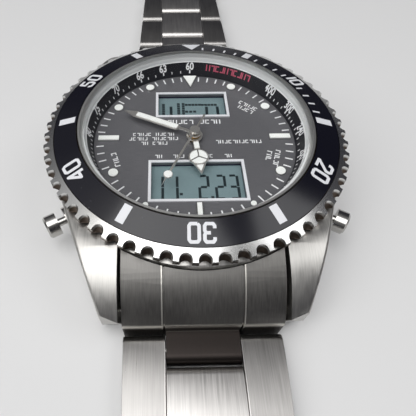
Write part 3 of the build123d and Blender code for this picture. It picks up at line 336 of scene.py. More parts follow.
def polished_metal(name, colour, roughness):
    """Smooth steel with faint marks of wear."""
    material, tree, shader = new_finish(name)
    dust = effect(tree, "used_surface", Amount=0.5, Scale=1400.0)["Mask"]
    worn = mixed(tree, colour, [0.6 * c for c in colour], dust)
    rough = maths(tree, "MULTIPLY_ADD", dust, 0.5, roughness)
    fill(tree, shader, Base_Color=worn, Roughness=rough, Metallic=1.0)
    return material


# Where the end piece's painted highlights and painted shade lie, and where the links' middle panel with its
# painted sheen starts, in mm
TONGUE_SHADE_START = (25.45, 25.6)
EDGE_HIGHLIGHT_BAND = ((4.75, 4.4), (3.7, 4.0))
GROOVE_HIGHLIGHT_STRIP = ((4.8, 4.86), (5.0, 4.93))
FOOT_SHADE = (3.75, 3.2)
LINK_CENTRE = (4.72, 4.64)
CENTRE_SHEEN_GAIN = 1.7


def end_piece_finish(name, colour):
    """Dull brushed steel with painted highlights on its front edge and along its grooves, and painted shade
    on its foot and hinge tongue.
    """
    material, tree, shader, tinted = brushed_base(name, colour, (9000.0, 200.0, 900.0), 0.36)
    axes = object_axes(tree)
    across = maths(tree, "ABSOLUTE", axes["X"])
    along = maths(tree, "ABSOLUTE", axes["Y"])
    # Painted highlights: a pale band along the front edge and pale strips along the grooves, laid into the
    # colour.
    edge = maths(tree, "MULTIPLY", *(ramp_between(tree, axes["Z"], *side) for side in EDGE_HIGHLIGHT_BAND))
    groove_highlight = maths(tree, "MULTIPLY", *(ramp_between(tree, across, *side) for side in GROOVE_HIGHLIGHT_STRIP))
    painted_highlight = maths(tree, "MAXIMUM", edge, groove_highlight)
    bright = mixed(tree, tinted, (0.7, 0.68, 0.63), painted_highlight)
    # Painted shade: a near-black colour on the low part of the front face.
    shaded = mixed(tree, bright, (0.06, 0.055, 0.05), ramp_between(tree, axes["Z"], *FOOT_SHADE))
    # Painted shade: a near-black colour on the hinge tongue.
    tongue = ramp_between(tree, along, *TONGUE_SHADE_START)
    fill(tree, shader, Base_Color=mixed(tree, shaded, (0.032, 0.027, 0.025), tongue))
    return material


def link_finish(name, colour):
    """Brushed steel, the middle panel of each link brighter in colour than the outer ones, as a painted
    sheen.
    """
    material, tree, shader, tinted = brushed_base(name, colour, (9000.0, 180.0, 900.0), 0.27, 0.16)
    across = maths(tree, "ABSOLUTE", object_axes(tree)["X"])
    # Painted sheen: the middle panel's colour is raised.
    centre = ramp_between(tree, across, *LINK_CENTRE)
    fill(tree, shader, Base_Color=mixed(tree, tinted, [CENTRE_SHEEN_GAIN] * 3, centre, "MULTIPLY"))
    return material


# The grip ring's sloping face: its fall from the rim, and the rim's radius and height in mm
BEZEL_FALL = 0.458
RIM_RADIUS = 19.35
RIM_HEIGHT = 12.66
RIM_REACH = RIM_HEIGHT + RIM_RADIUS * BEZEL_FALL


def fluted_finish(name, colour):
    """Polished steel, dulled in the flutes and under the rim, and darkened there with painted shade."""
    material, tree, shader = new_finish(name)
    flat = flat_place(tree)
    reach = vector_maths(tree, "LENGTH", flat)
    slope = maths(tree, "MULTIPLY_ADD", reach, BEZEL_FALL, object_axes(tree)["Z"])
    # Painted shade: a dark brown colour in the flutes and under the rim.
    flute_shade = ramp_between(tree, slope, RIM_REACH - 0.12, RIM_REACH - 0.6)
    shade = mixed(tree, colour, (0.085, 0.065, 0.052), flute_shade)
    rough = maths(tree, "MULTIPLY_ADD", flute_shade, 0.2, 0.2)
    fill(tree, shader, Base_Color=shade, Roughness=rough, Normal=cone_normal(tree, flat), Metallic=1.0)
    return material


def cone_normal(tree, flat):
    """The true normal of the grip ring's sloping face, and the mesh's own normal elsewhere."""
    outward = vector_maths(tree, "NORMALIZE", flat)
    leaning = vector_maths(tree, "MULTIPLY_ADD", outward, (BEZEL_FALL, BEZEL_FALL, 0.0), (0.0, 0.0, 1.0))
    turn = node_of(
        tree, "ShaderNodeVectorTransform", vector_type="NORMAL", convert_from="OBJECT", convert_to="WORLD"
    )
    true = fill(tree, turn, Vector=leaning).outputs[0]
    meshed = node_of(tree, "ShaderNodeNewGeometry").outputs["Normal"]
    near = ranged(tree, vector_maths(tree, "DOT_PRODUCT", meshed, true), 0.97, 0.985, smooth=True)
    return vector_maths(tree, "MULTIPLY_ADD", vector_maths(tree, "SUBTRACT", true, meshed), near, meshed)


def painted(name, colour, roughness, speck, speck_colour=(0.5, 0.5, 0.5), shine=0.5):
    """Paint, moulding or lacquer with faint specks."""
    material, tree, shader = new_finish(name)
    dust = effect(tree, "used_surface", Amount=speck, Scale=1100.0)["Mask"]
    rough = maths(tree, "MULTIPLY_ADD", dust, 0.3, roughness)
    fill(tree, shader, Base_Color=mixed(tree, colour, speck_colour, dust), Roughness=rough)
    fill(tree, shader, Specular_IOR_Level=shine)
    return material


GLASS_HIGHLIGHT_EDGE = (14.98, 15.06)


def glass_finish(name, colour):
    """Clear flat glass with a painted highlight, a pale colour, on its back-facing edge, and which lets the
    lamps through to the dial.
    """
    material, tree, shader = new_finish(name)
    sheen = fill(tree, node_of(tree, "ShaderNodeLayerWeight"), Blend=0.1)
    film = ranged(tree, sheen.outputs["Facing"], 0.0, 1.0, 0.01, 0.2)
    surface = node_of(tree, "ShaderNodeNewGeometry")
    # Painted highlight: the back-facing edge is made pale and more opaque.
    edge = maths(tree, "MULTIPLY", radius_mask(tree, *GLASS_HIGHLIGHT_EDGE), surface.outputs["Backfacing"])
    body = maths(tree, "MULTIPLY_ADD", edge, 0.62, film, use_clamp=True)
    smears = effect(tree, "used_surface", Amount=0.2, Scale=500.0)["Mask"]
    rough = maths(tree, "ADD", smears, 0.03)
    fill(tree, shader, Base_Color=mixed(tree, colour, (0.92, 0.94, 0.94), edge), Alpha=body, Roughness=rough)
    rays = node_of(tree, "ShaderNodeLightPath")
    switch_surface(tree, rays.outputs["Is Shadow Ray"], shader, node_of(tree, "ShaderNodeBsdfTransparent"))
    return material


def dial_finish(name, colour):
    """Dark metallic lacquer brushed from side to side."""
    material, tree, shader = new_finish(name)
    stretch = (700.0, 16000.0, 700.0)
    grain = effect(tree, "brushed_grain", Stretch=stretch, Base_Roughness=0.32, Contrast=0.3)
    tinted = mixed(tree, colour, grain["Tone"], 1.0, "MULTIPLY")
    fill(tree, shader, Base_Color=tinted, Roughness=grain["Roughness"], Metallic=0.3, Specular_IOR_Level=0.6)
    return material


def display_finish(name, colour):
    """Grey reflector of a display, slightly uneven."""
    material, tree, shader = new_finish(name)
    cloudy = mixed(tree, [0.9 * c for c in colour], colour, noise(tree, object_place(tree), 700.0))
    fill(tree, shader, Base_Color=cloudy, Roughness=0.25, Metallic=0.2)
    return material


# Each finish: how it is made, its colour or the setting that holds it, and its other values
RECIPES = {
    "case_brushed": (case_finish, "steel"),
    "link_steel": (link_finish, (0.34, 0.33, 0.32)),
    "clasp_brushed": (brushed_metal, "steel", (9000.0, 180.0, 900.0), 0.27),
    # The end pieces' steel colour is darker than the other steel, as painted shade.
    "end_brushed": (end_piece_finish, (0.175, 0.17, 0.162)),
    "back_brushed": (brushed_metal, "steel", (7000.0, 700.0, 7000.0), 0.3),
    "bezel_polished": (polished_metal, "polished", 0.12),
    "button_polished": (polished_metal, "steel", 0.16),
    "hand_steel": (polished_metal, (0.78, 0.76, 0.72), 0.38),
    "spoke_steel": (polished_metal, (0.36, 0.35, 0.34), 0.45),
    "bezel_fluted": (fluted_finish, "polished"),
    "inner_steel": (polished_metal, "steel", 0.3),
    "insert_black": (painted, "insert", 0.16, 0.2, (0.2, 0.2, 0.22), 0.45),
    "ring_black": (painted, (0.012, 0.012, 0.016), 0.4, 0.2),
    "dial_grey": (dial_finish, "dial"),
    "print_white": (painted, (0.90, 0.91, 0.92), 0.5, 0.05),
    "print_silver": (painted, (0.78, 0.79, 0.82), 0.35, 0.05),
    "print_red": (painted, (0.55, 0.10, 0.16), 0.5, 0.05),
    "paint_white": (painted, "paint", 0.6, 0.05),
    "display_grey": (display_finish, "display"),
    "segment_dark": (painted, (0.012, 0.022, 0.026), 0.35, 0.0),
    "glass_clear": (glass_finish, (0.02, 0.025, 0.03)),
    "gasket_pale": (painted, (0.8, 0.82, 0.82), 0.35, 0.1),
    "rubber_black": (painted, (0.02, 0.02, 0.02), 0.8, 0.3),
    "movement_black": (painted, (0.05, 0.05, 0.055), 0.55, 0.3),
    "board_green": (painted, (0.02, 0.12, 0.05), 0.4, 0.3),
    "solar_dark": (painted, (0.02, 0.015, 0.04), 0.25, 0.1),
    "ferrite_grey": (painted, (0.06, 0.06, 0.065), 0.6, 0.3),
    "copper_wire": (brushed_metal, (0.72, 0.32, 0.16), (20000.0, 900.0, 900.0), 0.3),
    "brass_cut": (brushed_metal, (0.75, 0.56, 0.25), (5000.0, 5000.0, 900.0), 0.28),
}
FINISHES = {}


def finish(name):
    """One of the watch's finishes, made when it is first asked for."""
    if name not in FINISHES:
        maker, colour, *values = RECIPES[name]
        if isinstance(colour, str):
            colour = tuple(getattr(bpy.context.scene.watch_colours, colour))
        FINISHES[name] = maker(name, colour, *values)
    return FINISHES[name]


# Making pieces
SHARP_ANGLE = math.radians(32)


def link_new(name, data):
    """A new object linked to the scene."""
    made = bpy.data.objects.new(name, data)
    bpy.context.scene.collection.objects.link(made)
    return made


def add_piece(name, work, body, finish_name):
    """A bmesh made into a piece that rides on a body, with its finish."""
    bmesh.ops.recalc_face_normals(work, faces=work.faces)
    mesh = bpy.data.meshes.new(name)
    work.to_mesh(mesh)
    work.free()
    piece = link_new(name, mesh)
    mesh.materials.append(finish(finish_name))
    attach(piece, body)


def stand(work, verts, height, place):
    """Stands new vertices, which are centred on the origin, on a placing matrix."""
    bmesh.ops.translate(work, vec=(0, 0, height / 2), verts=verts)
    bmesh.ops.transform(work, matrix=place, verts=verts)


def slab(work, width, length, height, place, taper=1.0):
    """A small flat bar added to a bmesh, centred on a placing matrix."""
    shape = Matrix.Diagonal((width, length, height, 1.0))
    verts = bmesh.ops.create_cube(work, size=1.0, matrix=shape)["verts"]
    bmesh.ops.scale(work, vec=(taper, 1, 1), verts=[v for v in verts if v.co.y > 0])
    stand(work, verts, height, place)


def round_slug(work, radius, height, segments):
    """The vertices of a plain round slug added to a bmesh."""
    return bmesh.ops.create_cone(
        work, cap_ends=True, segments=segments, radius1=radius, radius2=radius, depth=height
    )["verts"]


def button_disc(work, radius, height, place, segments=40):
    """A low round pad with a softened top edge added to a bmesh."""
    verts = round_slug(work, radius, height, segments)
    rim = [e for e in {e for v in verts for e in v.link_edges} if all(v.co.z > 0 for v in e.verts)]
    fresh = bmesh.ops.bevel(
        work,
        geom=rim,
        offset=height / 2,
        offset_type="OFFSET",
        segments=2,
        profile=0.5,
        material=-1,
        affect="EDGES",
    )
    stand(work, list({v for v in verts if v.is_valid} | set(fresh["verts"])), height, place)


def turned(degrees, axis="Z"):
    """A turn about an axis."""
    return Matrix.Rotation(math.radians(degrees), 4, axis)


def facing(angle_deg, radius, height, slope_deg=0.0):
    """A placing matrix on the dial, in mm: +Y of the mark points out of the centre."""
    move = Matrix.Translation((0, radius * MM, height * MM))
    return turned(-angle_deg) @ move @ turned(slope_deg, "X")


def flat_at(x, y, z, turn_deg=0.0):
    """A placing matrix for a mark that lies flat on the dial, in mm."""
    return Matrix.Translation((x * MM, y * MM, z * MM)) @ turned(turn_deg)


NUMERAL_WEIGHT = 0.025
NUMERAL_WIDENING = 0.82


def set_numeral(work, text, height, depth, place):
    """A number from the plain typeface as a thin solid, centred on its place."""
    curve = bpy.data.curves.new("numeral_" + text, "FONT")
    curve.body = text
    curve.align_x = "CENTER"
    curve.align_y = "CENTER"
    curve.offset = NUMERAL_WEIGHT
    curve.extrude = 0.5
    curve.resolution_u = 3
    holder = link_new("numeral_holder", curve)
    bpy.context.view_layer.update()
    mesh = bpy.data.meshes.new_from_object(holder.evaluated_get(bpy.context.evaluated_depsgraph_get()))
    bpy.data.objects.remove(holder)
    bpy.data.curves.remove(curve)
    xs = [v.co.x for v in mesh.vertices]
    ys = [v.co.y for v in mesh.vertices]
    size = height / (max(ys) - min(ys))
    middle = Matrix.Translation((-(max(xs) + min(xs)) / 2, -(max(ys) + min(ys)) / 2, 0.5))
    mesh.transform(place @ Matrix.Diagonal((size * NUMERAL_WIDENING, size, depth, 1.0)) @ middle)
    work.from_mesh(mesh)
    bpy.data.meshes.remove(mesh)


# The paths of each stroked figure, in shares of its width and height
NUMERAL_STROKES = {
    "0": [
        [(0.16, 0), (0.84, 0), (1, 0.12), (1, 0.88), (0.84, 1), (0.16, 1), (0, 0.88), (0, 0.12), (0.16, 0)],
    ],
    "1": [[(0.5, 0), (0.5, 1)]],
    "2": [[(0, 0.72), (0, 0.88), (0.16, 1), (0.84, 1), (1, 0.88), (1, 0.68), (0, 0.06), (0, 0), (1, 0)]],
    "3": [
        [(0, 0.74), (0, 0.88), (0.16, 1), (0.84, 1), (1, 0.88), (1, 0.62), (0.88, 0.5), (0.4, 0.5)],
        [(0.88, 0.5), (1, 0.38), (1, 0.12), (0.84, 0), (0.16, 0), (0, 0.12), (0, 0.26)],
    ],
    "4": [[(0.88, 0), (0.88, 1), (0, 0.3), (0.88, 0.3)]],
    "5": [
        [(0.95, 1), (0.08, 1), (0.08, 0.56), (0.84, 0.56), (1, 0.44)],
        [(1, 0.44), (1, 0.12), (0.84, 0), (0.16, 0), (0, 0.12), (0, 0.24)],
    ],
}
DIGIT_WIDTH = 1.52 * MM
DIGIT_STROKE = 0.4 * MM
DIGIT_GAP = 0.22 * MM
LAYER_STEP = 0.0004 * MM
CORNER_SEGMENTS = 14


def stroked_number(work, text, height, place, depth):
    """A number drawn with bars of one width and round corners, centred on its place.

    Each bar and corner is a little thicker than the one before, so that no two tops share a plane.
    """
    widths = [DIGIT_STROKE if mark == "1" else DIGIT_WIDTH for mark in text]
    left = -(sum(widths) + DIGIT_GAP * (len(text) - 1)) / 2
    up = height - DIGIT_STROKE
    for mark, width in zip(text, widths):
        across = width - DIGIT_STROKE
        for path in NUMERAL_STROKES[mark]:
            points = [Vector((left + DIGIT_STROKE / 2 + across * x, (y - 0.5) * up, 0)) for x, y in path]
            for start, end in zip(points, points[1:]):
                run = end - start
                turn = Matrix.Rotation(math.atan2(-run.x, run.y), 4, "Z")
                middle = place @ Matrix.Translation((start + end) / 2) @ turn
                depth += LAYER_STEP
                slab(work, DIGIT_STROKE, run.length, depth, middle)
            for corner in points[1:-1]:
                depth += LAYER_STEP
                verts = round_slug(work, DIGIT_STROKE / 2, depth, CORNER_SEGMENTS)
                stand(work, verts, depth, place @ Matrix.Translation(corner))
        left += width + DIGIT_GAP


def printed_words(work, letters, size, place, depth, seed):
    """A row of short strokes, grouped like words, that spell nothing; its letters are size mm high."""
    height = size * MM
    pitch = height * 0.92
    stroke = height * 0.2
    side = height * 0.27
    level = height * 0.4
    start = (1 - len(letters)) * pitch / 2
    for number, mark in enumerate(letters):
        if mark == " ":
            continue
        kind = (number * 7 + seed) % 4
        middle = start + number * pitch
        if kind in (0, 2):
            slab(work, stroke, height, depth, place @ Matrix.Translation((middle - side, 0, 0)))
        if kind in (0, 1, 3):
            slab(work, stroke, height, depth, place @ Matrix.Translation((middle + side, 0, 0)))
        if kind in (1, 2):
            slab(work, 2 * side, stroke, depth, place @ Matrix.Translation((middle, level, 0)))
        if kind in (2, 3):
            slab(work, 2 * side, stroke, depth, place @ Matrix.Translation((middle, -level, 0)))


def dressed_copy(node, name, finish_name, width):
    """A CAD node's shape with its edges rounded, standing for the node."""
    source = frame["nodes"][node]
    work = bmesh.new()
    work.from_mesh(source.data)
    bmesh.ops.remove_doubles(work, verts=work.verts, dist=0.0005 * MM)
    bmesh.ops.dissolve_limit(
        work, angle_limit=math.radians(0.4), verts=work.verts, edges=work.edges, use_dissolve_boundaries=False
    )
    mesh = bpy.data.meshes.new(name)
    work.to_mesh(mesh)
    work.free()
    piece = link_new(name, mesh)
    mesh.materials.append(finish(finish_name))
    mesh.shade_smooth()
    mesh.set_sharp_from_angle(angle=SHARP_ANGLE)
    rounding = piece.modifiers.new("edge_rounding", "BEVEL")
    rounding.width = width
    rounding.segments = 2
    rounding.limit_method = "ANGLE"
    rounding.angle_limit = math.radians(38)
    rounding.harden_normals = True
    rounding.use_clamp_overlap = True
    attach(piece, source["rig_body"])
    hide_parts(node)


def dress_nodes(finish_name, *nodes):
    """Gives CAD nodes a finish through their own material slots."""
    for node in nodes:
        piece = frame["nodes"][node]
        if not piece.material_slots:
            piece.data.materials.append(None)
        for place in piece.material_slots:
            place.link = "OBJECT"
            place.material = finish(finish_name)


# Operators
class WATCH_OT_case(Operator):
    """Finish the middle case, its back and their seals"""

    bl_idname = "watch.case"
    bl_label = "Case"

    def execute(self, context):
        sizes = context.scene.watch_sizes
        dressed_copy("mid_case", "case_body", "case_brushed", sizes.edge_round)
        dress_nodes("back_brushed", "case_back")
        dress_nodes("rubber_black", "case_back_gasket")
        dress_nodes("gasket_pale", "crystal_gasket")
        dress_nodes("inner_steel", "click_spring")
        return {"FINISHED"}


# The bezel's turn in degrees, and the insert's inner radius, height there, width and fall in mm
BEZEL_SET = 1.0
INSERT_RADIUS = 16.25
INSERT_HEIGHT = 13.56
INSERT_WIDTH = 3.1
INSERT_FALL = 0.9
INSERT_SLOPE = math.degrees(math.atan2(INSERT_FALL, INSERT_WIDTH))
BEZEL_ROUNDING = 0.1 * MM
# The bezel's marks: width and length, and the radius of their middle in mm
MINUTE_MARK, MINUTE_RADIUS = (0.28 * MM, 1.1 * MM), 17.05
BAR_MARK, BAR_RADIUS = (1.1 * MM, 2.35 * MM), 17.65
ARROW_MARK, NUMBER_RADIUS = (3.1 * MM, 2.7 * MM), 17.8


class WATCH_OT_bezel(Operator):
    """Finish the turning bezel and print its minute scale"""

    bl_idname = "watch.bezel"
    bl_label = "Bezel"

    def execute(self, context):
        sizes = context.scene.watch_sizes
        dressed_copy("bezel_ring", "bezel_grip", "bezel_fluted", BEZEL_ROUNDING)
        dress_nodes("insert_black", "bezel_insert")
        work = bmesh.new()
        depth = sizes.print_height
        for minute in range(1, 15):
            if minute % 5:
                slab(work, *MINUTE_MARK, depth, self.mark_place(minute, MINUTE_RADIUS))
        for minute in (5, 15, 25, 35, 45, 55):
            slab(work, *BAR_MARK, depth, self.mark_place(minute, BAR_RADIUS))
        slab(work, *ARROW_MARK, depth, self.mark_place(0, NUMBER_RADIUS) @ turned(180), taper=0.0)
        for number in (10, 20, 30, 40, 50):
            place = self.mark_place(number, NUMBER_RADIUS)
            stroked_number(work, str(number), sizes.numeral_height, place, depth)
        add_piece("minute_scale", work, "bezel", "print_silver")
        return {"FINISHED"}

    @staticmethod
    def mark_place(minute, radius):
        height = INSERT_HEIGHT - (radius - INSERT_RADIUS) * INSERT_FALL / INSERT_WIDTH
        return facing(minute * 6 + BEZEL_SET, radius, height, -INSERT_SLOPE)


# The printed face of the sloping ring: radius and height of its foot and top in mm
RING_FOOT = (14.4, 10.14)
RING_TOP = (15.35, 12.2)
RING_SLOPE = math.degrees(math.atan2(RING_TOP[1] - RING_FOOT[1], RING_TOP[0] - RING_FOOT[0]))
RING_NUMBERS = (60, 63, 66, 70, 75, 80, 90, 100, 120, 160, 200, 240, 300, 400)
RING_STEPS = (
    *range(61, 90),
    *range(92, 120, 2),
    *range(125, 200, 5),
    *range(210, 300, 10),
    *range(320, 400, 20),
)
# The ring's marks and red strokes, each with the share of the face's slope at which its middle stands
NUMERAL_SHARE = 0.66
LONG_MARK, LONG_SHARE = (0.2 * MM, 0.5 * MM), 0.28
SHORT_MARK, SHORT_SHARE = (0.13 * MM, 0.38 * MM), 0.26
LEGEND_SIZE, LEGEND_SHARE = 0.95, 0.6
LEGEND_ANGLES = [11.5 + number * 2.9 for number in range(10)]


class WATCH_OT_speed_ring(Operator):
    """Finish the sloping ring and print its scale"""

    bl_idname = "watch.speed_ring"
    bl_label = "Sloping ring"

    def execute(self, context):
        sizes = context.scene.watch_sizes
        dress_nodes("ring_black", "tachymeter_ring")
        depth = sizes.print_height
        work = bmesh.new()
        for value in RING_NUMBERS:
            angle = self.speed_angle(value)
            place = self.mark_place(angle, NUMERAL_SHARE)
            set_numeral(work, str(value), sizes.scale_numeral_height, depth, place)
            slab(work, *LONG_MARK, depth, self.mark_place(angle, LONG_SHARE))
        for value in RING_STEPS:
            if value not in RING_NUMBERS:
                slab(work, *SHORT_MARK, depth, self.mark_place(self.speed_angle(value), SHORT_SHARE))
        add_piece("speed_scale", work, "watch", "print_white")
        words = bmesh.new()
        for number, angle in enumerate(LEGEND_ANGLES):
            printed_words(words, "x", LEGEND_SIZE, self.mark_place(angle, LEGEND_SHARE), depth, number)
        add_piece("red_legend", words, "watch", "print_red")
        return {"FINISHED"}

    @staticmethod
    def speed_angle(value):
        """Where the second hand points after one unit of way at a speed in units an hour."""
        return 3600 / value * 6 % 360

    @staticmethod
    def mark_place(angle_deg, share):
        radius, height = (foot + (top - foot) * share for foot, top in zip(RING_FOOT, RING_TOP))
        return facing(angle_deg, radius, height, RING_SLOPE)


class WATCH_OT_glass(Operator):
    """Finish the flat glass"""

    bl_idname = "watch.glass"
    bl_label = "Glass"

    def execute(self, context):
        dress_nodes("glass_clear", "crystal")
        return {"FINISHED"}


# The dial's height in mm, and its minute marks: width and length, and the radius of their middle in mm
DIAL_Z = 10.0
DIAL_MARK, DIAL_MARK_RADIUS = (0.2 * MM, 1.05 * MM), 13.55
# Rows of strokes in the place of legends: letters, their height, x and y in mm, turn in degrees, seed
DIAL_ROWS = (
    ("xxxxx xxxx", 0.88, 0.1, 3.4, 0, 1),
    ("xxxxx xxxxx", 0.6, -5.9, 0.85, 0, 2),
    ("xxxxx xxxxxxx", 0.6, -5.9, -0.05, 0, 3),
    ("xx xxxx", 0.6, -5.8, -0.95, 0, 1),
    ("xxxxxxxxxxx", 0.66, 6.3, -0.8, 0, 1),
    ("xx", 0.62, -5.2, -3.5, 0, 1),
    ("xxx", 0.62, -2.4, -3.5, 0, 1),
    ("xxx", 0.62, 1.6, -3.5, 0, 0),
    ("xx", 0.62, 4.5, -3.5, 0, 1),
    ("xxxxx", 0.7, 8.7, 6.9, -38, 2),
    ("xxxx", 0.7, 8.2, 6.05, -38, 0),
    ("xxx", 0.72, 10.2, -3.6, 72, 1),
    ("xxxxx", 0.72, 11.2, -4.1, 72, 3),
    ("xxxx", 0.74, -11.1, -4.0, -72, 2),
)


class WATCH_OT_dial(Operator):
    """Finish the dial and print its minutes and legends"""

    bl_idname = "watch.dial"
    bl_label = "Dial"

    def execute(self, context):
        depth = context.scene.watch_sizes.print_height
        dress_nodes("dial_grey", "dial")
        dress_nodes("print_silver", "window_frames")
        dress_nodes("solar_dark", "solar_cell")
        work = bmesh.new()
        for minute in range(60):
            if minute % 5:
                slab(work, *DIAL_MARK, depth, facing(minute * 6, DIAL_MARK_RADIUS, DIAL_Z))
        for letters, size, x, y, turn, seed in DIAL_ROWS:
            printed_words(work, letters, size, flat_at(x, y, DIAL_Z, turn), depth, seed)
        add_piece("dial_print", work, "watch", "print_white")
        return {"FINISHED"}


# Paint on the applied markers: the hours, the pad's radius or the bar's width and length, and the radius
# of their middle in mm
MARKER_TOP = 10.25
MARKER_PADS = (((1, 2, 4, 8, 10, 11), 0.66 * MM, 13.0), ((5, 7), 0.38 * MM, 13.7))
MARKER_BARS = (((3, 9), (0.8 * MM, 2.93 * MM), 12.325), ((6,), (0.6 * MM, 2.13 * MM), 12.725))
MARKER_ARROW, MARKER_ARROW_RADIUS = (2.1 * MM, 2.6 * MM), 12.78


class WATCH_OT_markers(Operator):
    """Finish the applied hour markers and fill them with paint"""

    bl_idname = "watch.markers"
    bl_label = "Hour markers"

    def execute(self, context):
        height = context.scene.watch_sizes.paint_height
        dress_nodes("bezel_polished", "hour_markers")
        work = bmesh.new()
        for hours, size, radius in MARKER_PADS:
            for hour in hours:
                button_disc(work, size, height, facing(hour * 30, radius, MARKER_TOP))
        for hours, size, radius in MARKER_BARS:
            for hour in hours:
                slab(work, *size, height, facing(hour * 30, radius, MARKER_TOP))
        place = facing(0, MARKER_ARROW_RADIUS, MARKER_TOP) @ turned(180)
        slab(work, *MARKER_ARROW, height, place, taper=0.0)
        add_piece("marker_paint", work, "watch", "paint_white")
        return {"FINISHED"}


# The bars of each figure, and each bar's place in half widths and half heights, and whether it lies level
SEGMENTS = {"1": "bc", "2": "abged", "3": "abgcd"}
SEGMENT_BARS = {
    "a": (0, 1, True),
    "b": (1, 0.5, False),
    "c": (1, -0.5, False),
    "d": (0, -1, True),
    "e": (-1, -0.5, False),
    "g": (0, 0, True),
}
FIGURES = ((-5.25, "1"), (-3.3, "1"), (0.86, "2"), (3.1, "2"), (4.85, "3"))
FIGURE_Y = -8.42
HALF_WIDTH = 0.6 * MM
HALF_HEIGHT = 1.925 * MM
SEGMENT_STROKE = 0.36 * MM
POINTS = ((-2.2, -9.55), (1.9, -10.15))
POINT_SIZE = 0.4
# Lines of square dots in the upper display: the first and last dot's place in mm, and the steps between
DOT_SIZE = 0.44
DOT_LINES = (
    ((-4.4, 5.65), (-4.4, 8.15), 5),
    ((-3.23, 5.65), (-3.23, 7.5), 4),
    ((-2.05, 5.65), (-2.05, 8.3), 5),
    ((-1.3, 5.65), (-1.3, 8.3), 5),
    ((2.33, 5.65), (2.33, 7.4), 4),
    ((4.05, 5.65), (4.05, 7.4), 4),
    ((-0.8, 8.1), (1.3, 8.1), 4),
    ((-0.8, 6.5), (0.45, 6.5), 2),
    ((1.75, 8.05), (3.8, 8.05), 4),
)


class WATCH_OT_displays(Operator):
    """Finish both displays and set their figures"""

    bl_idname = "watch.displays"
    bl_label = "Displays"

    def execute(self, context):
        dress_nodes("display_grey", "lower_display", "upper_display")
        depth = 0.02 * MM
        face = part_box("lower_display")[1].z / MM
        work = bmesh.new()
        for x, digit in FIGURES:
            self.figure(work, digit, flat_at(x, FIGURE_Y, face), depth)
        for x, y in POINTS:
            self.square(work, POINT_SIZE, flat_at(x, y, face), depth)
        for (left, low), (right, high), steps in DOT_LINES:
            for number in range(steps + 1):
                x = left + number * (right - left) / steps
                y = low + number * (high - low) / steps
                self.square(work, DOT_SIZE, flat_at(x, y, face), depth)
        add_piece("display_figures", work, "watch", "segment_dark")
        return {"FINISHED"}

    @staticmethod
    def square(work, size, place, depth):
        slab(work, size * MM, size * MM, depth, place)

    @staticmethod
    def figure(work, digit, place, depth):
        """One seven-segment figure."""
        for name in SEGMENTS[digit]:
            x, y, level = SEGMENT_BARS[name]
            shift = place @ Matrix.Translation((x * HALF_WIDTH, y * HALF_HEIGHT, 0))
            if level:
                slab(work, 2 * HALF_WIDTH - SEGMENT_STROKE * 1.15, SEGMENT_STROKE, depth, shift)
            else:
                slab(work, SEGMENT_STROKE, HALF_HEIGHT - SEGMENT_STROKE * 0.35, depth, shift)


# Where the hands point in degrees and how high their paint lies in mm
HOUR_HAND = (175.5, 10.65)
MINUTE_HAND = (295.5, 11.15)
SECOND_HAND = (206, 11.6)
# Their paint: a bar's width and length or a disc's radius, and the distance from the axis in mm
HOUR_BAR, HOUR_BAR_REACH = (0.70 * MM, 1.15 * MM), 2.05
HOUR_DISC, HOUR_DISC_REACH = 1.22 * MM, 4.23
HOUR_TIP, HOUR_TIP_REACH = (1.0 * MM, 0.95 * MM), 6.2
MINUTE_BAR, MINUTE_BAR_REACH = (0.8 * MM, 6.5 * MM), 5.95
SECOND_DISC, SECOND_DISC_REACH = 0.56 * MM, 8.93
# The three spokes on the hour hand's disc: width, length and height, and their shift from its centre
SPOKE = (0.17 * MM, 1.3 * MM, 0.03 * MM)
SPOKE_SHIFT = -0.62 * MM


class WATCH_OT_hands(Operator):
    """Finish the hands and fill them with paint"""

    bl_idname = "watch.hands"
    bl_label = "Hands"

    def execute(self, context):
        height = context.scene.watch_sizes.paint_height
        dress_nodes("hand_steel", "hour_hand", "minute_hand", "second_hand")
        hour = bmesh.new()
        slab(hour, *HOUR_BAR, height, self.along(HOUR_HAND, HOUR_BAR_REACH))
        centre = self.along(HOUR_HAND, HOUR_DISC_REACH)
        button_disc(hour, HOUR_DISC, height, centre, 48)
        slab(hour, *HOUR_TIP, height, self.along(HOUR_HAND, HOUR_TIP_REACH), taper=0.1)
        add_piece("hour_paint", hour, "hour", "paint_white")
        spokes = bmesh.new()
        for angle in (0, 120, 240):
            place = centre @ Matrix.Translation((0, 0, height)) @ turned(angle)
            slab(spokes, *SPOKE, place @ Matrix.Translation((0, SPOKE_SHIFT, 0)))
        add_piece("hour_spokes", spokes, "hour", "spoke_steel")
        minute = bmesh.new()
        slab(minute, *MINUTE_BAR, height, self.along(MINUTE_HAND, MINUTE_BAR_REACH))
        add_piece("minute_paint", minute, "minute", "paint_white")
        second = bmesh.new()
        button_disc(second, SECOND_DISC, height, self.along(SECOND_HAND, SECOND_DISC_REACH), 36)
        add_piece("second_paint", second, "second", "paint_white")
        return {"FINISHED"}

    @staticmethod
    def along(hand, reach):
        """A placing matrix on a hand, at a distance from its axis in mm."""
        angle, height = hand
        return facing(angle, reach, height)


class WATCH_OT_buttons(Operator):
    """Finish the four push buttons and their tubes"""

    bl_idname = "watch.buttons"
    bl_label = "Push buttons"

    def execute(self, context):
        buttons = ("pusher_2", "pusher_4", "pusher_8", "pusher_10")
        dress_nodes("button_polished", *buttons, "pusher_tubes")
        dress_nodes("rubber_black", "pusher_seals")
        dress_nodes("inner_steel", "pusher_springs")
        return {"FINISHED"}


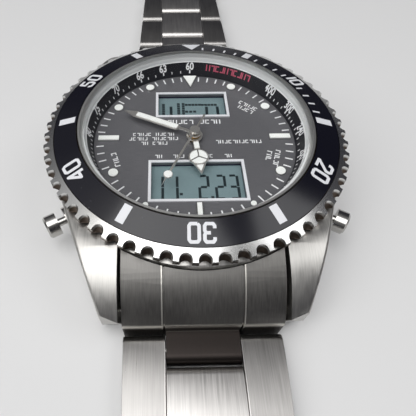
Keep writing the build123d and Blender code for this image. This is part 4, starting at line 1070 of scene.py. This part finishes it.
class WATCH_OT_bracelet(Operator):
    """Finish the end pieces, links and clasp"""

    bl_idname = "watch.bracelet"
    bl_label = "Bracelet"

    def execute(self, context):
        width = context.scene.watch_sizes.edge_round
        for node in frame["nodes"]:
            if node.startswith("end_piece"):
                dressed_copy(node, node + "_steel", "end_brushed", width)
            if node.startswith("link_"):
                dressed_copy(node, node + "_steel", "link_steel", width)
        for node in ("clasp_cover", "long_blade", "short_blade", "safety_flap"):
            dressed_copy(node, node + "_steel", "clasp_brushed", width)
        dress_nodes("inner_steel", "spring_bars", "clasp_spring_bar")
        return {"FINISHED"}


class WATCH_OT_movement(Operator):
    """Finish the pieces inside the case"""

    bl_idname = "watch.movement"
    bl_label = "Movement"

    def execute(self, context):
        dress_nodes("movement_black", "movement_plate")
        dress_nodes("board_green", "circuit_board")
        dress_nodes("ferrite_grey", "antenna_core")
        dress_nodes("copper_wire", "antenna_coil", "motor_coils")
        dress_nodes("rubber_black", "display_connectors")
        dress_nodes("inner_steel", "rechargeable_cell", "cell_strap", "motor_stators", "movement_screws")
        dress_nodes("brass_cut", "train_bridge", "hour_wheel", "cannon_pinion", "motion_wheel")
        dress_nodes("brass_cut", "second_arbor", "minute_rotor", "second_rotor")
        return {"FINISHED"}


# Each lamp's name, place and size in m, and power in W; all of them point at the watch
LAMPS = (
    ("soft_top", (-0.08, -0.105, 0.42), (0.38, 0.36), 1.12),
    ("soft_right", (0.26, -0.02, 0.36), (0.22, 0.20), 0.34),
    ("soft_side", (-0.30, -0.16, 0.26), (0.16, 0.16), 0.25),
)
# Where the floor starts and ends to turn into the backdrop's colour, in mm from the watch
FLOOR_FADE = (100.0, 330.0)
# The sky's bright side, its darkest and brightest colours, and the levels between them
SKY_AIM = (-0.45, -0.10, 0.88)
SKY_ENDS = ((0.3, (0.06, 0.06, 0.07, 1)), (1.0, (1.25, 1.23, 1.18, 1)))
SKY_STEPS = ((0.7, 0.22), (0.9, 0.62))
# The photograph's camera: picture size, focal length and centre in pixels, aim in degrees, place in mm
SENSOR = 36.0
PHOTO_SIZE = 416
FOCAL_PIXELS = 374.6
CENTRE_X = 169.9
AZIMUTH = math.radians(-1.18)
ELEVATION = math.radians(55.21)
ROLL = 0.19
CAMERA_PLACE = (-4.31, -39.13, 48.71)


class WATCH_OT_studio(Operator):
    """Set the floor, the soft lights, the world and the camera"""

    bl_idname = "watch.studio"
    bl_label = "Studio"

    def execute(self, context):
        scene = context.scene
        scene.view_settings.view_transform = "Standard"
        self.lay_floor(scene.watch_colours.floor)
        self.light_world(scene)
        for lamp in LAMPS:
            self.hang_lamp(*lamp)
        self.set_camera(scene)
        return {"FINISHED"}

    def lay_floor(self, colour):
        work = bmesh.new()
        bmesh.ops.create_grid(work, x_segments=1, y_segments=1, size=4.0)
        mesh = bpy.data.meshes.new("floor")
        work.to_mesh(mesh)
        work.free()
        floor = link_new("floor", mesh)
        material, tree, shader = new_finish("floor_pale")
        fill(tree, shader, Base_Color=colour, Roughness=0.7)
        haze = fill(tree, node_of(tree, "ShaderNodeEmission"), Color=colour)
        rays = node_of(tree, "ShaderNodeLightPath")
        away = maths(tree, "MULTIPLY", radius_mask(tree, *FLOOR_FADE), rays.outputs["Is Camera Ray"])
        switch_surface(tree, away, shader, haze)
        mesh.materials.append(material)

    def light_world(self, scene):
        world = bpy.data.worlds.new("studio_world")
        scene.world = world
        world.use_nodes = True
        tree = world.node_tree
        tree.nodes.clear()
        coords = node_of(tree, "ShaderNodeTexCoord")
        aim = vector_maths(tree, "DOT_PRODUCT", coords.outputs["Generated"], Vector(SKY_AIM).normalized())
        ramp = node_of(tree, "ShaderNodeValToRGB")
        ramp.color_ramp.interpolation = "EASE"
        for element, (place, colour) in zip(ramp.color_ramp.elements, SKY_ENDS):
            element.position = place
            element.color = colour
        for place, level in SKY_STEPS:
            ramp.color_ramp.elements.new(place).color = (level, level, level * 1.02, 1)
        feed(tree, ramp.inputs[0], aim)
        sky = fill(tree, node_of(tree, "ShaderNodeBackground"), Strength=0.85, Color=ramp.outputs[0])
        plain = fill(tree, node_of(tree, "ShaderNodeBackground"), Color=scene.watch_colours.floor)
        node_of(tree, "ShaderNodeOutputWorld")
        rays = node_of(tree, "ShaderNodeLightPath")
        switch_surface(tree, rays.outputs["Is Camera Ray"], sky, plain)

    def hang_lamp(self, name, place, size, power):
        lamp = bpy.data.lights.new(name, "AREA")
        lamp.shape = "RECTANGLE"
        lamp.size, lamp.size_y = size
        lamp.energy = power
        holder = link_new(name, lamp)
        holder.location = place
        holder.rotation_euler = (-Vector(place)).to_track_quat("-Z", "Y").to_euler()

    def set_camera(self, scene):
        camera = bpy.data.cameras.new("photo_camera")
        holder = link_new("photo_camera", camera)
        camera.sensor_width = SENSOR
        camera.lens = SENSOR * FOCAL_PIXELS / PHOTO_SIZE
        camera.shift_x = (PHOTO_SIZE / 2 - CENTRE_X) / PHOTO_SIZE
        camera.clip_start = 0.002
        camera.clip_end = 20
        level = math.cos(ELEVATION)
        back = Vector((math.sin(AZIMUTH) * level, -math.cos(AZIMUTH) * level, math.sin(ELEVATION)))
        turn = back.to_track_quat("Z", "Y").to_matrix().to_4x4()
        holder.matrix_world = Matrix.Translation(Vector(CAMERA_PLACE) * MM) @ turn @ turned(ROLL)
        scene.camera = holder


class WATCH_PT_panel(Panel):
    """Lists the steps in the order they run"""

    bl_label = "Watch"
    bl_idname = "WATCH_PT_panel"
    bl_space_type = "VIEW_3D"
    bl_region_type = "UI"
    bl_category = "Watch"

    def draw(self, context):
        for step in STEPS:
            self.layout.operator(step.bl_idname)


STEPS = (
    WATCH_OT_case,
    WATCH_OT_bezel,
    WATCH_OT_speed_ring,
    WATCH_OT_glass,
    WATCH_OT_dial,
    WATCH_OT_markers,
    WATCH_OT_displays,
    WATCH_OT_hands,
    WATCH_OT_buttons,
    WATCH_OT_bracelet,
    WATCH_OT_movement,
    WATCH_OT_studio,
)
CLASSES = (WatchSizes, WatchColours) + STEPS + (WATCH_PT_panel,)


def register():
    for kind in CLASSES:
        bpy.utils.register_class(kind)
    bpy.types.Scene.watch_sizes = PointerProperty(type=WatchSizes)
    bpy.types.Scene.watch_colours = PointerProperty(type=WatchColours)


def unregister():
    del bpy.types.Scene.watch_colours
    del bpy.types.Scene.watch_sizes
    for kind in reversed(CLASSES):
        bpy.utils.unregister_class(kind)


def main():
    register()
    for step in STEPS:
        group, name = step.bl_idname.split(".")
        getattr(getattr(bpy.ops, group), name)()


if __name__ == "__main__":
    main()
